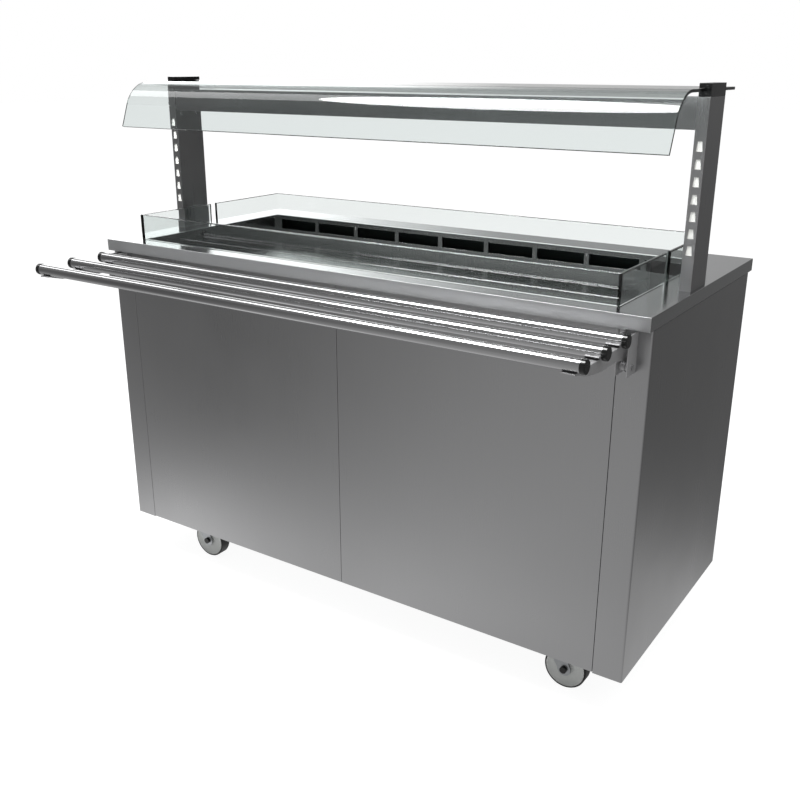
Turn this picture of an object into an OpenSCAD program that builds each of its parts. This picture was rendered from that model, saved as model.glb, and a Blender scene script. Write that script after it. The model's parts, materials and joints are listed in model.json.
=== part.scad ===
// Mobile salad bar: a refrigerated well counter on castors with a glass
// upstand, a lit glass canopy on two posts and a fold-down tray slide.
// Millimetres. X runs along the front, Y to the service side, Z up.
// The origin is on the floor, under the centre of the whole outline.

/* [Worktop] */
// Width of the worktop at each end, beside the well
top_side = 84; // [80:1:120]
// Depth of the worktop
top_d = 682; // [670:1:720]
// Height of the worktop above the floor
top_h = 900; // [760:5:1000]
// Depth of the folded edge round the worktop
lip_h = 29; // [22:1:40]
// Thickness of the worktop sheet
top_sheet = 2; // [1.5:0.5:3]
// Overhang of the worktop at the customer side
front_overhang = 18; // [12:1:22]
// Overhang of the worktop at the service side
rear_overhang = 31; // [26:1:34]

/* [Cabinet] */
// Thickness of the panel sheet
sheet = 1.5; // [1:0.1:2]
// Depth of the folded edges of panels and doors
panel_depth = 15; // [12:1:16]
// Width of the corner strips at the front
corner_w = 66.5; // [55:0.5:80]
// Outer radius of the front corners
corner_r = 4; // [3:0.5:20]
// Open seam between two panels
seam = 1; // [0.6:0.1:2]
// How far the panels hang below the chassis
skirt = 19.5; // [10:0.5:22]
// Width of the rear corner posts, seen from the service side
rear_post_w = 40; // [30:1:50]
// Width of the rear corner posts, seen from the end
rear_post_side = 25; // [20:1:30]
// Height and width of the chassis bars
bar = 25; // [20:1:30]
// Thickness of the chassis steel
bar_t = 2.5; // [2:0.5:4]
// Width of the machine bay, from the outside of the cabinet
machine_w = 559; // [540:1:600]

/* [Well] */
// Width of the well opening
well_w = 1302; // [1000:1:1600]
// Depth of the well opening, front to rear
well_d = 530; // [500:1:532]
// Strip of worktop in front of the well
well_front = 51; // [50:1:60]
// Depth of the well down to its floor plates
well_depth = 64; // [50:1:90]
// Depth of the insulated tub, down to its inner bottom
tub_depth = 240; // [220:5:280]
// Thickness of the insulated tub wall
tub_wall = 15; // [10:1:17]
// Depth of the air space behind the rear duct
plenum = 34; // [28:1:36]
// Number of air outlets along the rear duct
duct_cells = 9; // [5:1:11]
// Height of an air outlet
duct_open_h = 28.5; // [20:0.5:32]
// Width of the rib between two air outlets
duct_rib = 13; // [8:1:18]
// Strip of duct above the air outlets
duct_drop = 12.5; // [8:0.5:16]

/* [Glass upstand] */
// Thickness of the upstand glass
pane_t = 8; // [5:0.5:8]
// Height of the upstand glass
pane_h = 64; // [50:1:90]
// Length of the front glass returns, from the front of the glass
front_return = 251; // [120:1:300]
// Gap between the front and the rear glass returns
return_gap = 20; // [10:1:40]

/* [Gantry] */
// Width of a post
post_w = 24; // [22:1:30]
// Depth of a post
post_d = 94; // [80:1:110]
// Height of a post above the worktop
post_h = 374.5; // [350:0.5:420]
// Worktop edge to the outer face of a post
post_edge = 8.5; // [6:0.5:14]
// Worktop front edge to the front face of a post
post_front = 244.5; // [220:0.5:260]
// Number of slots in a post's front face
slot_count = 7; // [3:1:8]
// Distance from one slot to the next
slot_pitch = 33.6; // [30:0.1:36]
// Height of a slot
slot_h = 19; // [12:0.5:22]
// Height of the black cap on a post
cap_h = 25; // [20:1:30]
// Height of the light beam
beam_h = 60; // [50:1:70]
// Depth of the light beam
beam_d = 70; // [60:1:80]
// Thickness of the canopy glass
canopy_t = 6; // [5:0.5:8]
// Worktop end to the end of the canopy glass
canopy_inset = 19; // [14:1:24]
// Worktop front edge to the rear edge of the canopy
canopy_rear = 438; // [410:1:460]
// Worktop front edge to the place where the canopy starts to bend
canopy_bend = 168; // [160:1:180]
// Outer radius of the canopy's bend
canopy_r = 86; // [70:1:90]
// Angle that the canopy turns through
canopy_turn = 69; // [50:1:80]
// Length of the straight part below the bend
canopy_drop = 58; // [40:1:70]

/* [Tray slide] */
// Worktop front edge to the axis of the nearest tube
tray_gap = 43; // [43:1:58]
// Distance from one tube axis to the next
tray_pitch = 93; // [80:1:105]
// Outer diameter of a tube
tube_d = 25; // [22:1:28]
// Height of the tube axes below the worktop
tray_drop = 38; // [36:0.5:46]
// Worktop end to the end of a tube without its cap
tube_inset = 33; // [28:1:44]
// Length of an end cap outside its tube
tube_cap = 10; // [6:1:14]
// Cabinet side to the middle of a tray bracket
bracket_side = 40; // [38:1:48]

/* [Castors] */
// Overall height of a castor
castor_h = 128; // [122:1:140]
// Wheel diameter
wheel_d = 100; // [90:1:104]
// Wheel width
wheel_w = 32; // [28:1:36]
// Swivel axis to wheel axis
castor_trail = 29.5; // [24:0.5:36]
// Cabinet side to the swivel axis
castor_side = 183.5; // [150:0.5:220]
// Cabinet front or rear to the swivel axis
castor_end = 78; // [70:1:100]

/* [Hidden] */
$fn = 64;

// Overrun of every cut
cut = 1;
// Radial clearance of a pin in its bore
fit = 0.06;
// Clearance between pieces that move past each other
run_gap = 0.4;
// Clearance between loose pieces of one assembly
ease = 0.25;

steel_colour = "silver";
panel_colour = "darkgray";
dark_colour = "dimgray";
glass_colour = [0.8, 0.88, 0.86, 0.4];

// Lengths along X
top_w = well_w + 2 * top_side;
canopy_w = top_w - 2 * canopy_inset;
tube_len = top_w - 2 * tube_inset;

// Places along Y
cap_extra = 1;
tube_cap_d = tube_d + 2 * cap_extra;
tray_reach = tray_gap + 2 * tray_pitch + tube_cap_d / 2;
whole_d = tray_reach + top_d;
y_top = tray_reach - whole_d / 2;
y_rear = y_top + top_d;
y_body = y_top + front_overhang;
y_back = y_rear - rear_overhang;
y_frame = y_body + panel_depth;
y_frame_back = y_back - panel_depth - seam;
y_well = y_top + well_front;
y_well_back = y_well + well_d;

// Places along X
x_side = top_w / 2;
x_frame = x_side - sheet;
x_well = well_w / 2;
x_post_in = x_side - post_edge - post_w;
x_post = x_side - post_edge - post_w / 2;
x_corner = x_side - corner_w;
x_rear_post = x_side - rear_post_w;
x_bracket = x_side - bracket_side;

// Places along Z
z_skirt = castor_h - skirt;
z_frame = castor_h + bar;
deck_z = z_frame + sheet;
z_lip = top_h - lip_h;
z_tub = top_h - tub_depth;
z_tub_out = z_tub - tub_wall;
z_floor = top_h - well_depth;
z_post = top_h + post_h;

module box(x, y, z) {
  translate([x[0], y[0], z[0]]) cube([x[1] - x[0], y[1] - y[0], z[1] - z[0]]);
}

// A sheet with folded edges all round, open at the side away from its face
module pan(x, z, face_y, inward, depth = panel_depth) {
  far = face_y + inward * depth;
  skin = face_y + inward * sheet;
  difference() {
    box(x, [min(face_y, far), max(face_y, far)], z);
    box([x[0] + sheet, x[1] - sheet],
        [min(skin, far + inward * cut), max(skin, far + inward * cut)],
        [z[0] + sheet, z[1] - sheet]);
  }
}

module rod_x(r, len) { rotate([0, 90, 0]) cylinder(r = r, h = len); }
module rod_y(r, len) { rotate([-90, 0, 0]) cylinder(r = r, h = len); }

// A domed screw head on a face, its top pointing up
module screw_head(r, h) {
  cylinder(r = r, h = h / 2);
  translate([0, 0, h / 2]) cylinder(r1 = r, r2 = r / 2, h = h / 2);
}

module both_sides() {
  children();
  mirror([1, 0, 0]) children();
}

// Chassis

cross_w = 90;

module chassis_frame() {
  color(dark_colour) {
    difference() {
      box([-x_frame, x_frame], [y_frame, y_frame_back], [castor_h, z_frame]);
      box([bar_t - x_frame, x_frame - bar_t], [y_frame + bar_t, y_frame_back - bar_t],
          [castor_h + bar_t, z_frame - bar_t]);
      box([bar - x_frame, x_frame - bar], [y_frame + bar, y_frame_back - bar],
          [castor_h - cut, z_frame + cut]);
    }
    for (x = [castor_side - x_side, 0, x_side - castor_side])
      cross_bar(x);
  }
}

module cross_bar(x) {
  wide = [x - cross_w / 2, x + cross_w / 2];
  long = [y_frame + bar / 2, y_frame_back - bar / 2];
  difference() {
    box(wide, long, [castor_h, z_frame]);
    box([wide[0] + bar_t, wide[1] - bar_t], [long[0] - cut, long[1] + cut],
        [castor_h + bar_t, z_frame + cut]);
  }
}

vent_len = 180;
vent_w = 12;
vent_count = 5;

module base_deck() {
  color(steel_colour) difference() {
    box([-x_frame, x_frame], [y_frame, y_frame_back], [z_frame, deck_z]);
    for (i = [0 : vent_count - 1])
      translate([machine_x - vent_len / 2, shroud_y - (i + 1) * 2 * vent_w, z_frame - cut])
        cube([vent_len, vent_w, sheet + 2 * cut]);
    translate([drain_x, drain_y, z_frame - cut])
      cylinder(r = drain_r + drain_clear, h = sheet + 2 * cut);
  }
}

// Cabinet shell

flange_w = 20;

module side_panel_right() {
  color(panel_colour) {
    translate([0, 0, z_skirt]) linear_extrude(z_lip - z_skirt) side_plan();
    for (z = [z_skirt, z_lip - sheet])
      box([x_side - flange_w, x_side - sheet / 2], [y_body + corner_r, side_end], [z, z + sheet]);
  }
}

side_end = y_back - rear_post_side - seam / 2;

module side_plan() {
  translate([x_side - sheet, y_body + corner_r]) square([sheet, side_end - y_body - corner_r]);
  translate([x_corner + seam / 2, y_body]) square([corner_w - corner_r - seam / 2, sheet]);
  translate([x_corner + seam / 2, y_body]) square([sheet, panel_depth]);
  translate([x_side - corner_r, y_body + corner_r]) difference() {
    circle(r = corner_r);
    circle(r = corner_r - sheet);
    translate([-2 * corner_r, -corner_r - cut]) square([2 * corner_r, 3 * corner_r]);
    translate([-2 * corner_r, 0]) square([4 * corner_r, 2 * corner_r]);
  }
}

module side_panel_left() { mirror([1, 0, 0]) side_panel_right(); }

panel_lift = 2;

module front_panel_right() {
  color(panel_colour)
    pan([seam / 2, x_corner - seam / 2], [z_skirt + panel_lift, z_lip], y_body, 1);
}

module front_panel_left() { mirror([1, 0, 0]) front_panel_right(); }

module rear_posts() {
  color(panel_colour) both_sides() {
    box([x_side - sheet, x_side], [side_end + seam / 2, y_back], [z_skirt, z_lip]);
    box([x_rear_post, x_side], [y_back - sheet, y_back], [z_skirt, z_lip]);
    box([x_rear_post, x_rear_post + sheet], [y_back - panel_depth, y_back], [z_skirt, z_lip]);
  }
}

fascia_x = x_rear_post - seam;

module rear_fascia() {
  color(panel_colour)
    pan([-fascia_x, fascia_x], [z_tub_out, z_lip], y_back, -1);
}

// Service side: machine bay to the left, cupboard with two doors to the right

x_bulk = machine_w - x_side;
bulk_post_w = 40;
y_seat = y_back - panel_depth;
machine_x = (x_bulk - x_side) / 2;
machine_left = -fascia_x;
machine_right = x_bulk - bulk_post_w / 2 - seam;
z_panel = z_skirt + panel_lift;
z_bay = z_tub_out - seam;
control_h = 123;
z_control = z_bay - control_h;

module bulkhead() {
  color(steel_colour) {
    box([x_bulk - sheet, x_bulk], [y_frame, y_back - sheet], [deck_z, z_tub_out]);
    box([x_bulk - flange_w, x_bulk], [y_frame, y_frame_back], [deck_z, deck_z + sheet]);
    difference() {
      box([x_bulk - bulk_post_w / 2, x_bulk + bulk_post_w / 2], [y_frame_back, y_back],
          [z_panel, z_bay]);
      box([x_bulk - bulk_post_w / 2 + sheet, x_bulk + bulk_post_w / 2 - sheet],
          [y_frame_back - cut, y_back - sheet], [z_panel - cut, z_bay + cut]);
    }
    box([x_bulk - bulk_post_w / 2 - flange_w, x_bulk - bulk_post_w / 2 + sheet],
        [y_frame_back, y_seat], [z_panel, z_bay]);
  }
}

louvre_rows = 12;
louvre_len = 190;
louvre_h = 7;
louvre_hood = 9;
louvre_tilt = 35;
louvre_top = 60;

module louvred_panel() {
  wide = [machine_left, machine_right];
  tall = [z_panel, z_control - seam];
  pitch = (tall[1] - tall[0] - 2 * louvre_top) / (louvre_rows - 1);
  mid = (wide[0] + wide[1]) / 2;
  color(panel_colour) {
    difference() {
      pan(wide, tall, y_back, -1);
      for (s = [-1, 1])
        for (i = [0 : louvre_rows - 1])
          translate([mid + s * louvre_len * 0.6 - louvre_len / 2, y_back - sheet - cut,
                     tall[0] + louvre_top + i * pitch])
            cube([louvre_len, sheet + 2 * cut, louvre_h]);
    }
    for (s = [-1, 1])
      for (i = [0 : louvre_rows - 1])
        translate([mid + s * louvre_len * 0.6 - louvre_len / 2 - sheet, y_back - sheet * 0.8,
                   tall[0] + louvre_top + i * pitch + louvre_h + sheet * 0.2])
          rotate([-louvre_tilt, 0, 0]) cube([louvre_len + 2 * sheet, louvre_hood, sheet]);
  }
}

rocker_w = 13;
rocker_h = 24;
rocker_throw = 16;
rocker_pin = 1.5;
rocker_pin_len = 3;
bezel_rim = 4;
bezel_depth = 18;
bezel_proud = 2;
rocker_z = z_control + control_h / 2;
rocker_pitch = 40;
controller_w = 71;
controller_h = 29;
controller_depth = 58;
inlet_w = 31;
inlet_h = 24;
inlet_depth = 22;

x_controller = machine_left + 90;
x_rocker_cooling = x_controller + 100;
x_rocker_lights = x_rocker_cooling + rocker_pitch;
x_inlet = machine_right - 70;
rocker_sink = 4;
rocker_y = y_back - rocker_sink;

module control_panel() {
  hole_w = rocker_w + 2 * (run_gap + bezel_rim);
  hole_h = rocker_h + 2 * (run_gap + bezel_rim);
  color(panel_colour) difference() {
    pan([machine_left, machine_right], [z_control, z_bay], y_back, -1);
    for (x = [x_rocker_cooling, x_rocker_lights])
      translate([x - hole_w / 2, y_back - sheet - cut, rocker_z - hole_h / 2])
        cube([hole_w, sheet + 2 * cut, hole_h]);
    translate([x_controller - controller_w / 2, y_back - sheet - cut, rocker_z - controller_h / 2])
      cube([controller_w, sheet + 2 * cut, controller_h]);
    translate([x_inlet - inlet_w / 2, y_back - sheet - cut, rocker_z - inlet_h / 2])
      cube([inlet_w, sheet + 2 * cut, inlet_h]);
  }
  color("black") for (x = [x_rocker_cooling, x_rocker_lights])
    rocker_bezel(x, hole_w, hole_h);
}

module rocker_bezel(x, w, h) {
  rim = 2;
  translate([x, y_back, rocker_z]) difference() {
    union() {
      translate([-w / 2, -bezel_depth, -h / 2]) cube([w, bezel_depth, h]);
      translate([-w / 2 - rim, 0, -h / 2 - rim]) cube([w + 2 * rim, bezel_proud, h + 2 * rim]);
    }
    translate([-rocker_w / 2 - run_gap, -bezel_depth + rim, -rocker_h / 2 - run_gap])
      cube([rocker_w + 2 * run_gap, bezel_depth + bezel_proud, rocker_h + 2 * run_gap]);
    translate([-rocker_w / 2 - rocker_pin_len, -rocker_sink, 0])
      rod_x(rocker_pin + fit, rocker_w + 2 * rocker_pin_len);
  }
}

// Two-lobed rocker, tipped to its off side, on two stub pins
module rocker(x) {
  arm_h = rocker_h / 2 - rocker_pin;
  thick = 6;
  pin_len = rocker_w + 2 * rocker_pin_len - 2 * run_gap;
  color("black") translate([x, rocker_y, rocker_z]) {
    rotate([rocker_throw / 2, 0, 0]) translate([-rocker_w / 2, -thick / 2, -arm_h])
      cube([rocker_w, thick, 2 * arm_h]);
    translate([-pin_len / 2, 0, 0]) rod_x(rocker_pin, pin_len);
  }
}

module rocker_cooling() { rocker(x_rocker_cooling); }
module rocker_lights() { rocker(x_rocker_lights); }

module controller() {
  rim = 3.5;
  window_w = 34;
  window_h = 16;
  key_r = 3;
  key_pitch = 12;
  color("black") difference() {
    union() {
      translate([x_controller - controller_w / 2 + ease, y_back - controller_depth,
                 rocker_z - controller_h / 2 + ease])
        cube([controller_w - 2 * ease, controller_depth, controller_h - 2 * ease]);
      translate([x_controller - controller_w / 2 - rim, y_back, rocker_z - controller_h / 2 - rim])
        cube([controller_w + 2 * rim, rim, controller_h + 2 * rim]);
    }
    translate([x_controller - rim, y_back + rim - 1 * sheet / 2, rocker_z - window_h / 2])
      cube([window_w, sheet, window_h]);
  }
  color("gray") for (i = [0 : 1], j = [0 : 1])
    translate([x_controller - controller_w / 2 + key_pitch / 2 + i * key_pitch, y_back + rim,
               rocker_z - key_pitch / 2 + j * key_pitch]) rod_y(key_r, sheet / 3);
}

module mains_inlet() {
  rim = 4;
  wall = 2.5;
  pin_r = 1.6;
  pin_gap = 7;
  color("black") translate([x_inlet, y_back, rocker_z]) {
    difference() {
      union() {
        translate([-inlet_w / 2 + ease, -inlet_depth, -inlet_h / 2 + ease])
          cube([inlet_w - 2 * ease, inlet_depth, inlet_h - 2 * ease]);
        translate([-inlet_w / 2 - rim, 0, -inlet_h / 2 - rim])
          cube([inlet_w + 2 * rim, wall, inlet_h + 2 * rim]);
      }
      translate([-inlet_w / 2 + wall, wall - inlet_depth, -inlet_h / 2 + wall])
        cube([inlet_w - 2 * wall, inlet_depth + cut, inlet_h - 2 * wall]);
    }
    for (i = [-1 : 1])
      translate([i * pin_gap, wall - inlet_depth - sheet / 2, abs(i) * wall - wall / 2])
        rod_y(pin_r, inlet_depth - wall);
  }
}

// Doors on butt hinges with 60 mm leaves

door_w = (fascia_x - x_bulk - bulk_post_w / 2 - 2 * seam) / 2;
x_door_split = x_bulk + bulk_post_w / 2 + seam + door_w + seam / 2;
hinge_h = 60;
hinge_leaf = 22;
hinge_t = 2;
hinge_r = 4.5;
hinge_pin = 2.5;
hinge_off = 5;
hinge_inset = 70;
y_hinge = y_back + hinge_off;
x_hinge_right = x_rear_post - seam / 2;
x_hinge_left = x_bulk + bulk_post_w / 2 + seam / 2;
hinge_zs = [z_panel + hinge_inset, z_bay - hinge_inset - hinge_h];
knuckle = hinge_h / 3;

module hinge_fixed(x, side) {
  translate([x, y_hinge, 0]) for (z = hinge_zs) {
    difference() {
      union() {
        for (k = [0, 2]) translate([0, 0, z + k * knuckle]) cylinder(r = hinge_r, h = knuckle);
        for (k = [0, 2]) translate([side > 0 ? 0 : -hinge_leaf, -hinge_off, z + k * knuckle])
          cube([hinge_leaf, hinge_t, knuckle]);
        translate([side > 0 ? hinge_r + run_gap : -hinge_leaf, -hinge_off, z])
          cube([hinge_leaf - hinge_r - run_gap, hinge_t, hinge_h]);
        for (k = [0, 2]) translate([side > 0 ? 0 : -hinge_r, -hinge_off, z + k * knuckle])
          cube([hinge_r, hinge_off, knuckle]);
      }
    }
    translate([0, 0, z]) cylinder(r = hinge_pin, h = hinge_h);
  }
}

module hinge_moving(x, side) {
  translate([x, y_hinge, 0]) for (z = hinge_zs) difference() {
    union() {
      translate([0, 0, z + knuckle + run_gap]) cylinder(r = hinge_r, h = knuckle - 2 * run_gap);
      translate([side > 0 ? -hinge_leaf : hinge_r + run_gap, -hinge_off, z])
        cube([hinge_leaf - hinge_r - run_gap, hinge_t, hinge_h]);
      translate([side > 0 ? -hinge_leaf : seam, -hinge_off, z + knuckle + run_gap])
        cube([hinge_leaf - seam, hinge_t, knuckle - 2 * run_gap]);
      translate([side > 0 ? -hinge_r : seam, -hinge_off, z + knuckle + run_gap])
        cube([hinge_r - seam, hinge_off, knuckle - 2 * run_gap]);
    }
    translate([0, 0, z - cut]) cylinder(r = hinge_pin + fit, h = hinge_h + 2 * cut);
  }
}

module door_hinges() {
  color(steel_colour) {
    hinge_fixed(x_hinge_right, 1);
    hinge_fixed(x_hinge_left, -1);
  }
}

handle_len = 128;
handle_r = 5;
handle_reach = 24;
handle_inset = 35;
handle_top = 60;

module bow_handle(x) {
  z1 = z_bay - handle_top;
  z0 = z1 - handle_len;
  for (z = [z0, z1]) translate([x, y_back, z]) rod_y(handle_r, handle_reach - handle_r);
  translate([x, y_back + handle_reach - handle_r, z0]) cylinder(r = handle_r, h = handle_len);
  for (z = [z0, z1]) translate([x, y_back + handle_reach - handle_r, z]) sphere(r = handle_r);
}

module door(x, side) {
  color(panel_colour) pan(x, [z_panel, z_bay], y_back, -1);
  color(steel_colour) {
    bow_handle(side > 0 ? x[0] + handle_inset : x[1] - handle_inset);
    hinge_moving(side > 0 ? x_hinge_right : x_hinge_left, side);
  }
}

module door_right() { door([x_door_split + seam / 2, fascia_x], 1); }
module door_left() { door([x_bulk + bulk_post_w / 2 + seam, x_door_split - seam / 2], -1); }

// Worktop

stud_r = 4;
stud_len = 24;
stud_gap = 54;
front_flange = front_overhang + panel_depth;
rear_flange = rear_overhang + panel_depth;
seat_depth = 0.5;
z_seat = top_h - seat_depth;
y_post = y_top + post_front;

module worktop() {
  color(steel_colour) difference() {
    box([-x_side, x_side], [y_top, y_rear], [z_lip, top_h]);
    box([sheet - x_side, x_side - sheet], [y_top + sheet, y_rear - sheet],
        [z_lip + sheet, top_h - top_sheet]);
    box([front_flange - x_side, x_side - front_flange], [y_top + front_flange, y_rear - rear_flange],
        [z_lip - cut, z_lip + sheet + cut]);
    box([-x_well, x_well], [y_well, y_well_back], [z_lip, top_h + cut]);
    both_sides()
      box([x_post_in, x_post_in + post_w], [y_post, y_post + post_d], [z_seat, top_h + cut]);
    front_pane([z_seat, top_h + cut]);
    rear_pane([z_seat, top_h + cut]);
    for (s = [-1, 1], k = [-1, 1])
      translate([s * x_post, y_top + post_front + post_d / 2 + k * stud_gap / 2, z_lip + lip_h / 2])
        cylinder(r = stud_r + ease, h = lip_h);
  }
}

// Well

drain_x = x_bulk + 40;
drain_y = y_well_back - 90;
drain_bore = 12;
pipe_hole = 9;
pipe_x = x_bulk - 60;
pipe_y = y_well + 130;
pipe_pitch = 45;
ledge = 12;
ledge_h = 10;
grille_w = 40;

module well_tub() {
  top = top_h - top_sheet;
  color(steel_colour) difference() {
    box([-x_well - tub_wall, x_well + tub_wall],
        [y_well - tub_wall, y_well_back + plenum + tub_wall], [z_tub_out, top]);
    box([-x_well, x_well], [y_well, y_well_back + plenum], [z_tub, top + cut]);
    translate([drain_x, drain_y, z_tub_out - cut]) cylinder(r = drain_bore, h = tub_wall + 2 * cut);
    for (k = [0, 1]) translate([pipe_x - k * pipe_pitch, pipe_y, z_tub_out - cut])
      cylinder(r = pipe_hole, h = tub_wall + 2 * cut);
  }
}

// Bars along the tub's ends and across its middle, which carry the floor plates
module tub_ledges() {
  z = [z_floor - sheet - ledge_h, z_floor - sheet];
  color(steel_colour) {
    both_sides() box([x_well - ledge, x_well], [y_well, y_well_back], z);
    box([-ledge, ledge], [y_well, y_well_back + plenum], z);
  }
}

grille_slots = 16;

module well_floor() {
  z = [z_floor - sheet, z_floor];
  slot_step = (well_w - 2 * ledge) / grille_slots;
  color(steel_colour) {
    for (s = [-1, 1])
      box([min(s * ease, s * (x_well - ease)), max(s * ease, s * (x_well - ease))],
          [y_well + grille_w + ease, y_well_back - ease], z);
    difference() {
      box([ease - x_well, x_well - ease], [y_well + ease, y_well + grille_w - ease], z);
      for (i = [0 : grille_slots - 1])
        box([ledge - x_well + (i + 0.15) * slot_step, ledge - x_well + (i + 0.85) * slot_step],
            [y_well + grille_w * 0.35, y_well + grille_w * 0.65], [z[0] - cut, z[1] + cut]);
    }
  }
}

duct_end = 7.5;
duct_tail = 30;
duct_return = 8;
duct_pitch = (well_w - 2 * duct_end) / duct_cells;
z_duct_open = top_h - duct_drop - duct_open_h;

module rear_air_duct() {
  color(steel_colour) {
    difference() {
      box([-x_well, x_well], [y_well_back, y_well_back + sheet],
          [z_floor - duct_tail, top_h - top_sheet]);
      for (i = [0 : duct_cells - 1])
        box([duct_end - x_well + i * duct_pitch + duct_rib / 2,
             duct_end - x_well + (i + 1) * duct_pitch - duct_rib / 2],
            [y_well_back - cut, y_well_back + sheet + cut], [z_duct_open, z_duct_open + duct_open_h]);
      box([-ledge, ledge], [y_well_back - cut, y_well_back + sheet + cut],
          [z_floor - sheet - ledge_h, z_floor - sheet]);
    }
    for (i = [1 : duct_cells - 1], s = [-1, 1])
      translate([duct_end - x_well + i * duct_pitch + s * (duct_rib - sheet) / 2 - sheet / 2,
                 y_well_back + sheet, z_duct_open])
        cube([sheet, duct_return, duct_open_h]);
  }
}

// Evaporator and its fan, under the floor plates

coil_w = 400;
coil_d = 200;
coil_h = 110;
coil_x = x_bulk + 60;
coil_y = y_well + 150;
coil_fins = 20;
coil_tube_r = 5;
coil_rows = 3;
coil_cols = 2;
fin_t = 1.6;
end_plate = 3;

// A block of plate fins on straight tubes between two end plates
module finned_coil(w, d, h, fins, rows, cols) {
  pitch = (w - 2 * end_plate) / (fins + 1);
  foot = h * 0.08;
  for (x = [0, w - end_plate]) translate([x, 0, 0]) cube([end_plate, d, h]);
  for (i = [1 : fins]) translate([end_plate + i * pitch - fin_t / 2, foot, foot])
    cube([fin_t, d - 2 * foot, h - 2 * foot]);
  for (r = [0 : rows - 1], c = [0 : cols - 1])
    translate([-end_plate, (c + 0.5) * d / cols, (r + 0.5) * h / rows])
      rod_x(coil_tube_r, w + 2 * end_plate);
}

module evaporator_coil() {
  color("lightgray") translate([coil_x, coil_y, z_tub])
    finned_coil(coil_w, coil_d, coil_h, coil_fins, coil_rows, coil_cols);
}

evap_fan = 119;
evap_fan_d = 38;
evap_fan_x = coil_x + coil_w / 2;
evap_fan_y = coil_y + coil_d + 30;
evap_fan_z = z_tub + evap_fan / 2;
shaft_r = 4;

// Square fan housing with its motor on three arms; the axis runs along Y
module fan_housing(size, depth, bore_share, motor_r, motor_len) {
  arm_t = size * 0.04;
  rotate([-90, 0, 0]) {
    difference() {
      translate([-size / 2, -size / 2, 0]) cube([size, size, depth]);
      translate([0, 0, -cut]) cylinder(r = size * bore_share / 2, h = depth + 2 * cut);
    }
    cylinder(r = motor_r, h = motor_len);
    for (a = [90 : 120 : 330]) rotate([0, 0, a]) translate([0, -arm_t / 2, 0])
      cube([size / 2 * 0.98, arm_t, arm_t]);
    cylinder(r = shaft_r, h = depth - arm_t);
  }
}

module fan_rotor(size, depth, bore_share, hub_r, start, blades) {
  len = size * bore_share / 2 - hub_r - size * 0.02;
  hub_len = depth - start - size * 0.03;
  chord = hub_len * 0.9;
  rotate([-90, 0, 0]) translate([0, 0, start]) difference() {
    union() {
      cylinder(r = hub_r, h = hub_len);
      for (i = [0 : blades - 1]) rotate([0, 0, i * 360 / blades])
        translate([hub_r * 0.8, 0, hub_len / 2]) rotate([blade_pitch, 0, 0])
          translate([0, -chord / 2, -blade_t / 2]) cube([len + hub_r * 0.2, chord, blade_t]);
    }
    translate([0, 0, -cut]) cylinder(r = shaft_r + fit, h = hub_len + 2 * cut);
  }
}

blade_pitch = 32;
blade_t = 1.6;
fan_bore_share = 0.93;
evap_motor_r = 20;
evap_motor_len = 12;

module evaporator_fan_frame() {
  color("black") translate([evap_fan_x, evap_fan_y, evap_fan_z])
    fan_housing(evap_fan, evap_fan_d, fan_bore_share, evap_motor_r, evap_motor_len);
}

module evaporator_fan_blades() {
  color("dimgray") translate([evap_fan_x, evap_fan_y, evap_fan_z])
    fan_rotor(evap_fan, evap_fan_d, fan_bore_share, evap_motor_r, evap_motor_len + run_gap, 5);
}

// Drain with a quarter-turn valve, down beside the bulkhead and out through the deck

drain_flange_r = 26;
drain_flange_t = 4;
drain_r = 15;
drain_top = 45;
valve_r = 21;
valve_h = 44;
spigot_r = 11;
spigot_bore = 8;
spigot_len = 55;
spigot_step = 3;
drain_clear = 1;
stem_r = 5;
stem_len = 16;
lever_t = 3;
lever_len = 85;
lever_w = 18;
z_valve = z_tub_out - drain_top - valve_h / 2;

module drain_pipe() {
  z_foot = z_frame - spigot_step;
  z_end = z_foot - spigot_len;
  color("gainsboro") translate([drain_x, drain_y, 0]) {
    difference() {
      union() {
        translate([0, 0, z_tub_out - drain_flange_t]) cylinder(r = drain_flange_r, h = drain_flange_t);
        translate([0, 0, z_foot]) cylinder(r = drain_r, h = z_tub_out - drain_flange_t - z_foot);
        translate([0, 0, z_valve - valve_h / 2]) cylinder(r = valve_r, h = valve_h);
        translate([0, 0, z_end]) cylinder(r = spigot_r, h = spigot_len + spigot_step);
      }
      translate([0, 0, z_valve + valve_h / 4])
        cylinder(r = drain_bore, h = z_tub_out - z_valve);
      translate([0, 0, z_end - cut])
        cylinder(r = spigot_bore, h = z_valve - valve_h / 2 - z_end + cut);
    }
    translate([0, valve_r - cut, z_valve]) rod_y(stem_r, stem_len + cut);
  }
}

module drain_lever() {
  y = drain_y + valve_r + stem_len - lever_t - sheet;
  color("red") translate([drain_x, y, z_valve]) difference() {
    union() {
      rod_y(lever_w / 2, lever_t);
      translate([0, 0, -lever_w / 3]) cube([lever_len, lever_t, lever_w * 2 / 3]);
    }
    translate([0, -cut, 0]) rod_y(stem_r + fit, lever_t + 2 * cut);
  }
}

// Condensing unit in the machine bay

bay_h = z_control - deck_z;
comp_r = 85;
comp_h = bay_h * 0.52;
comp_foot = 12;
comp_plate_w = 210;
comp_plate_d = 150;
comp_plate_t = 3;
foot_r = 12;
comp_y = y_frame + 190;

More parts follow.
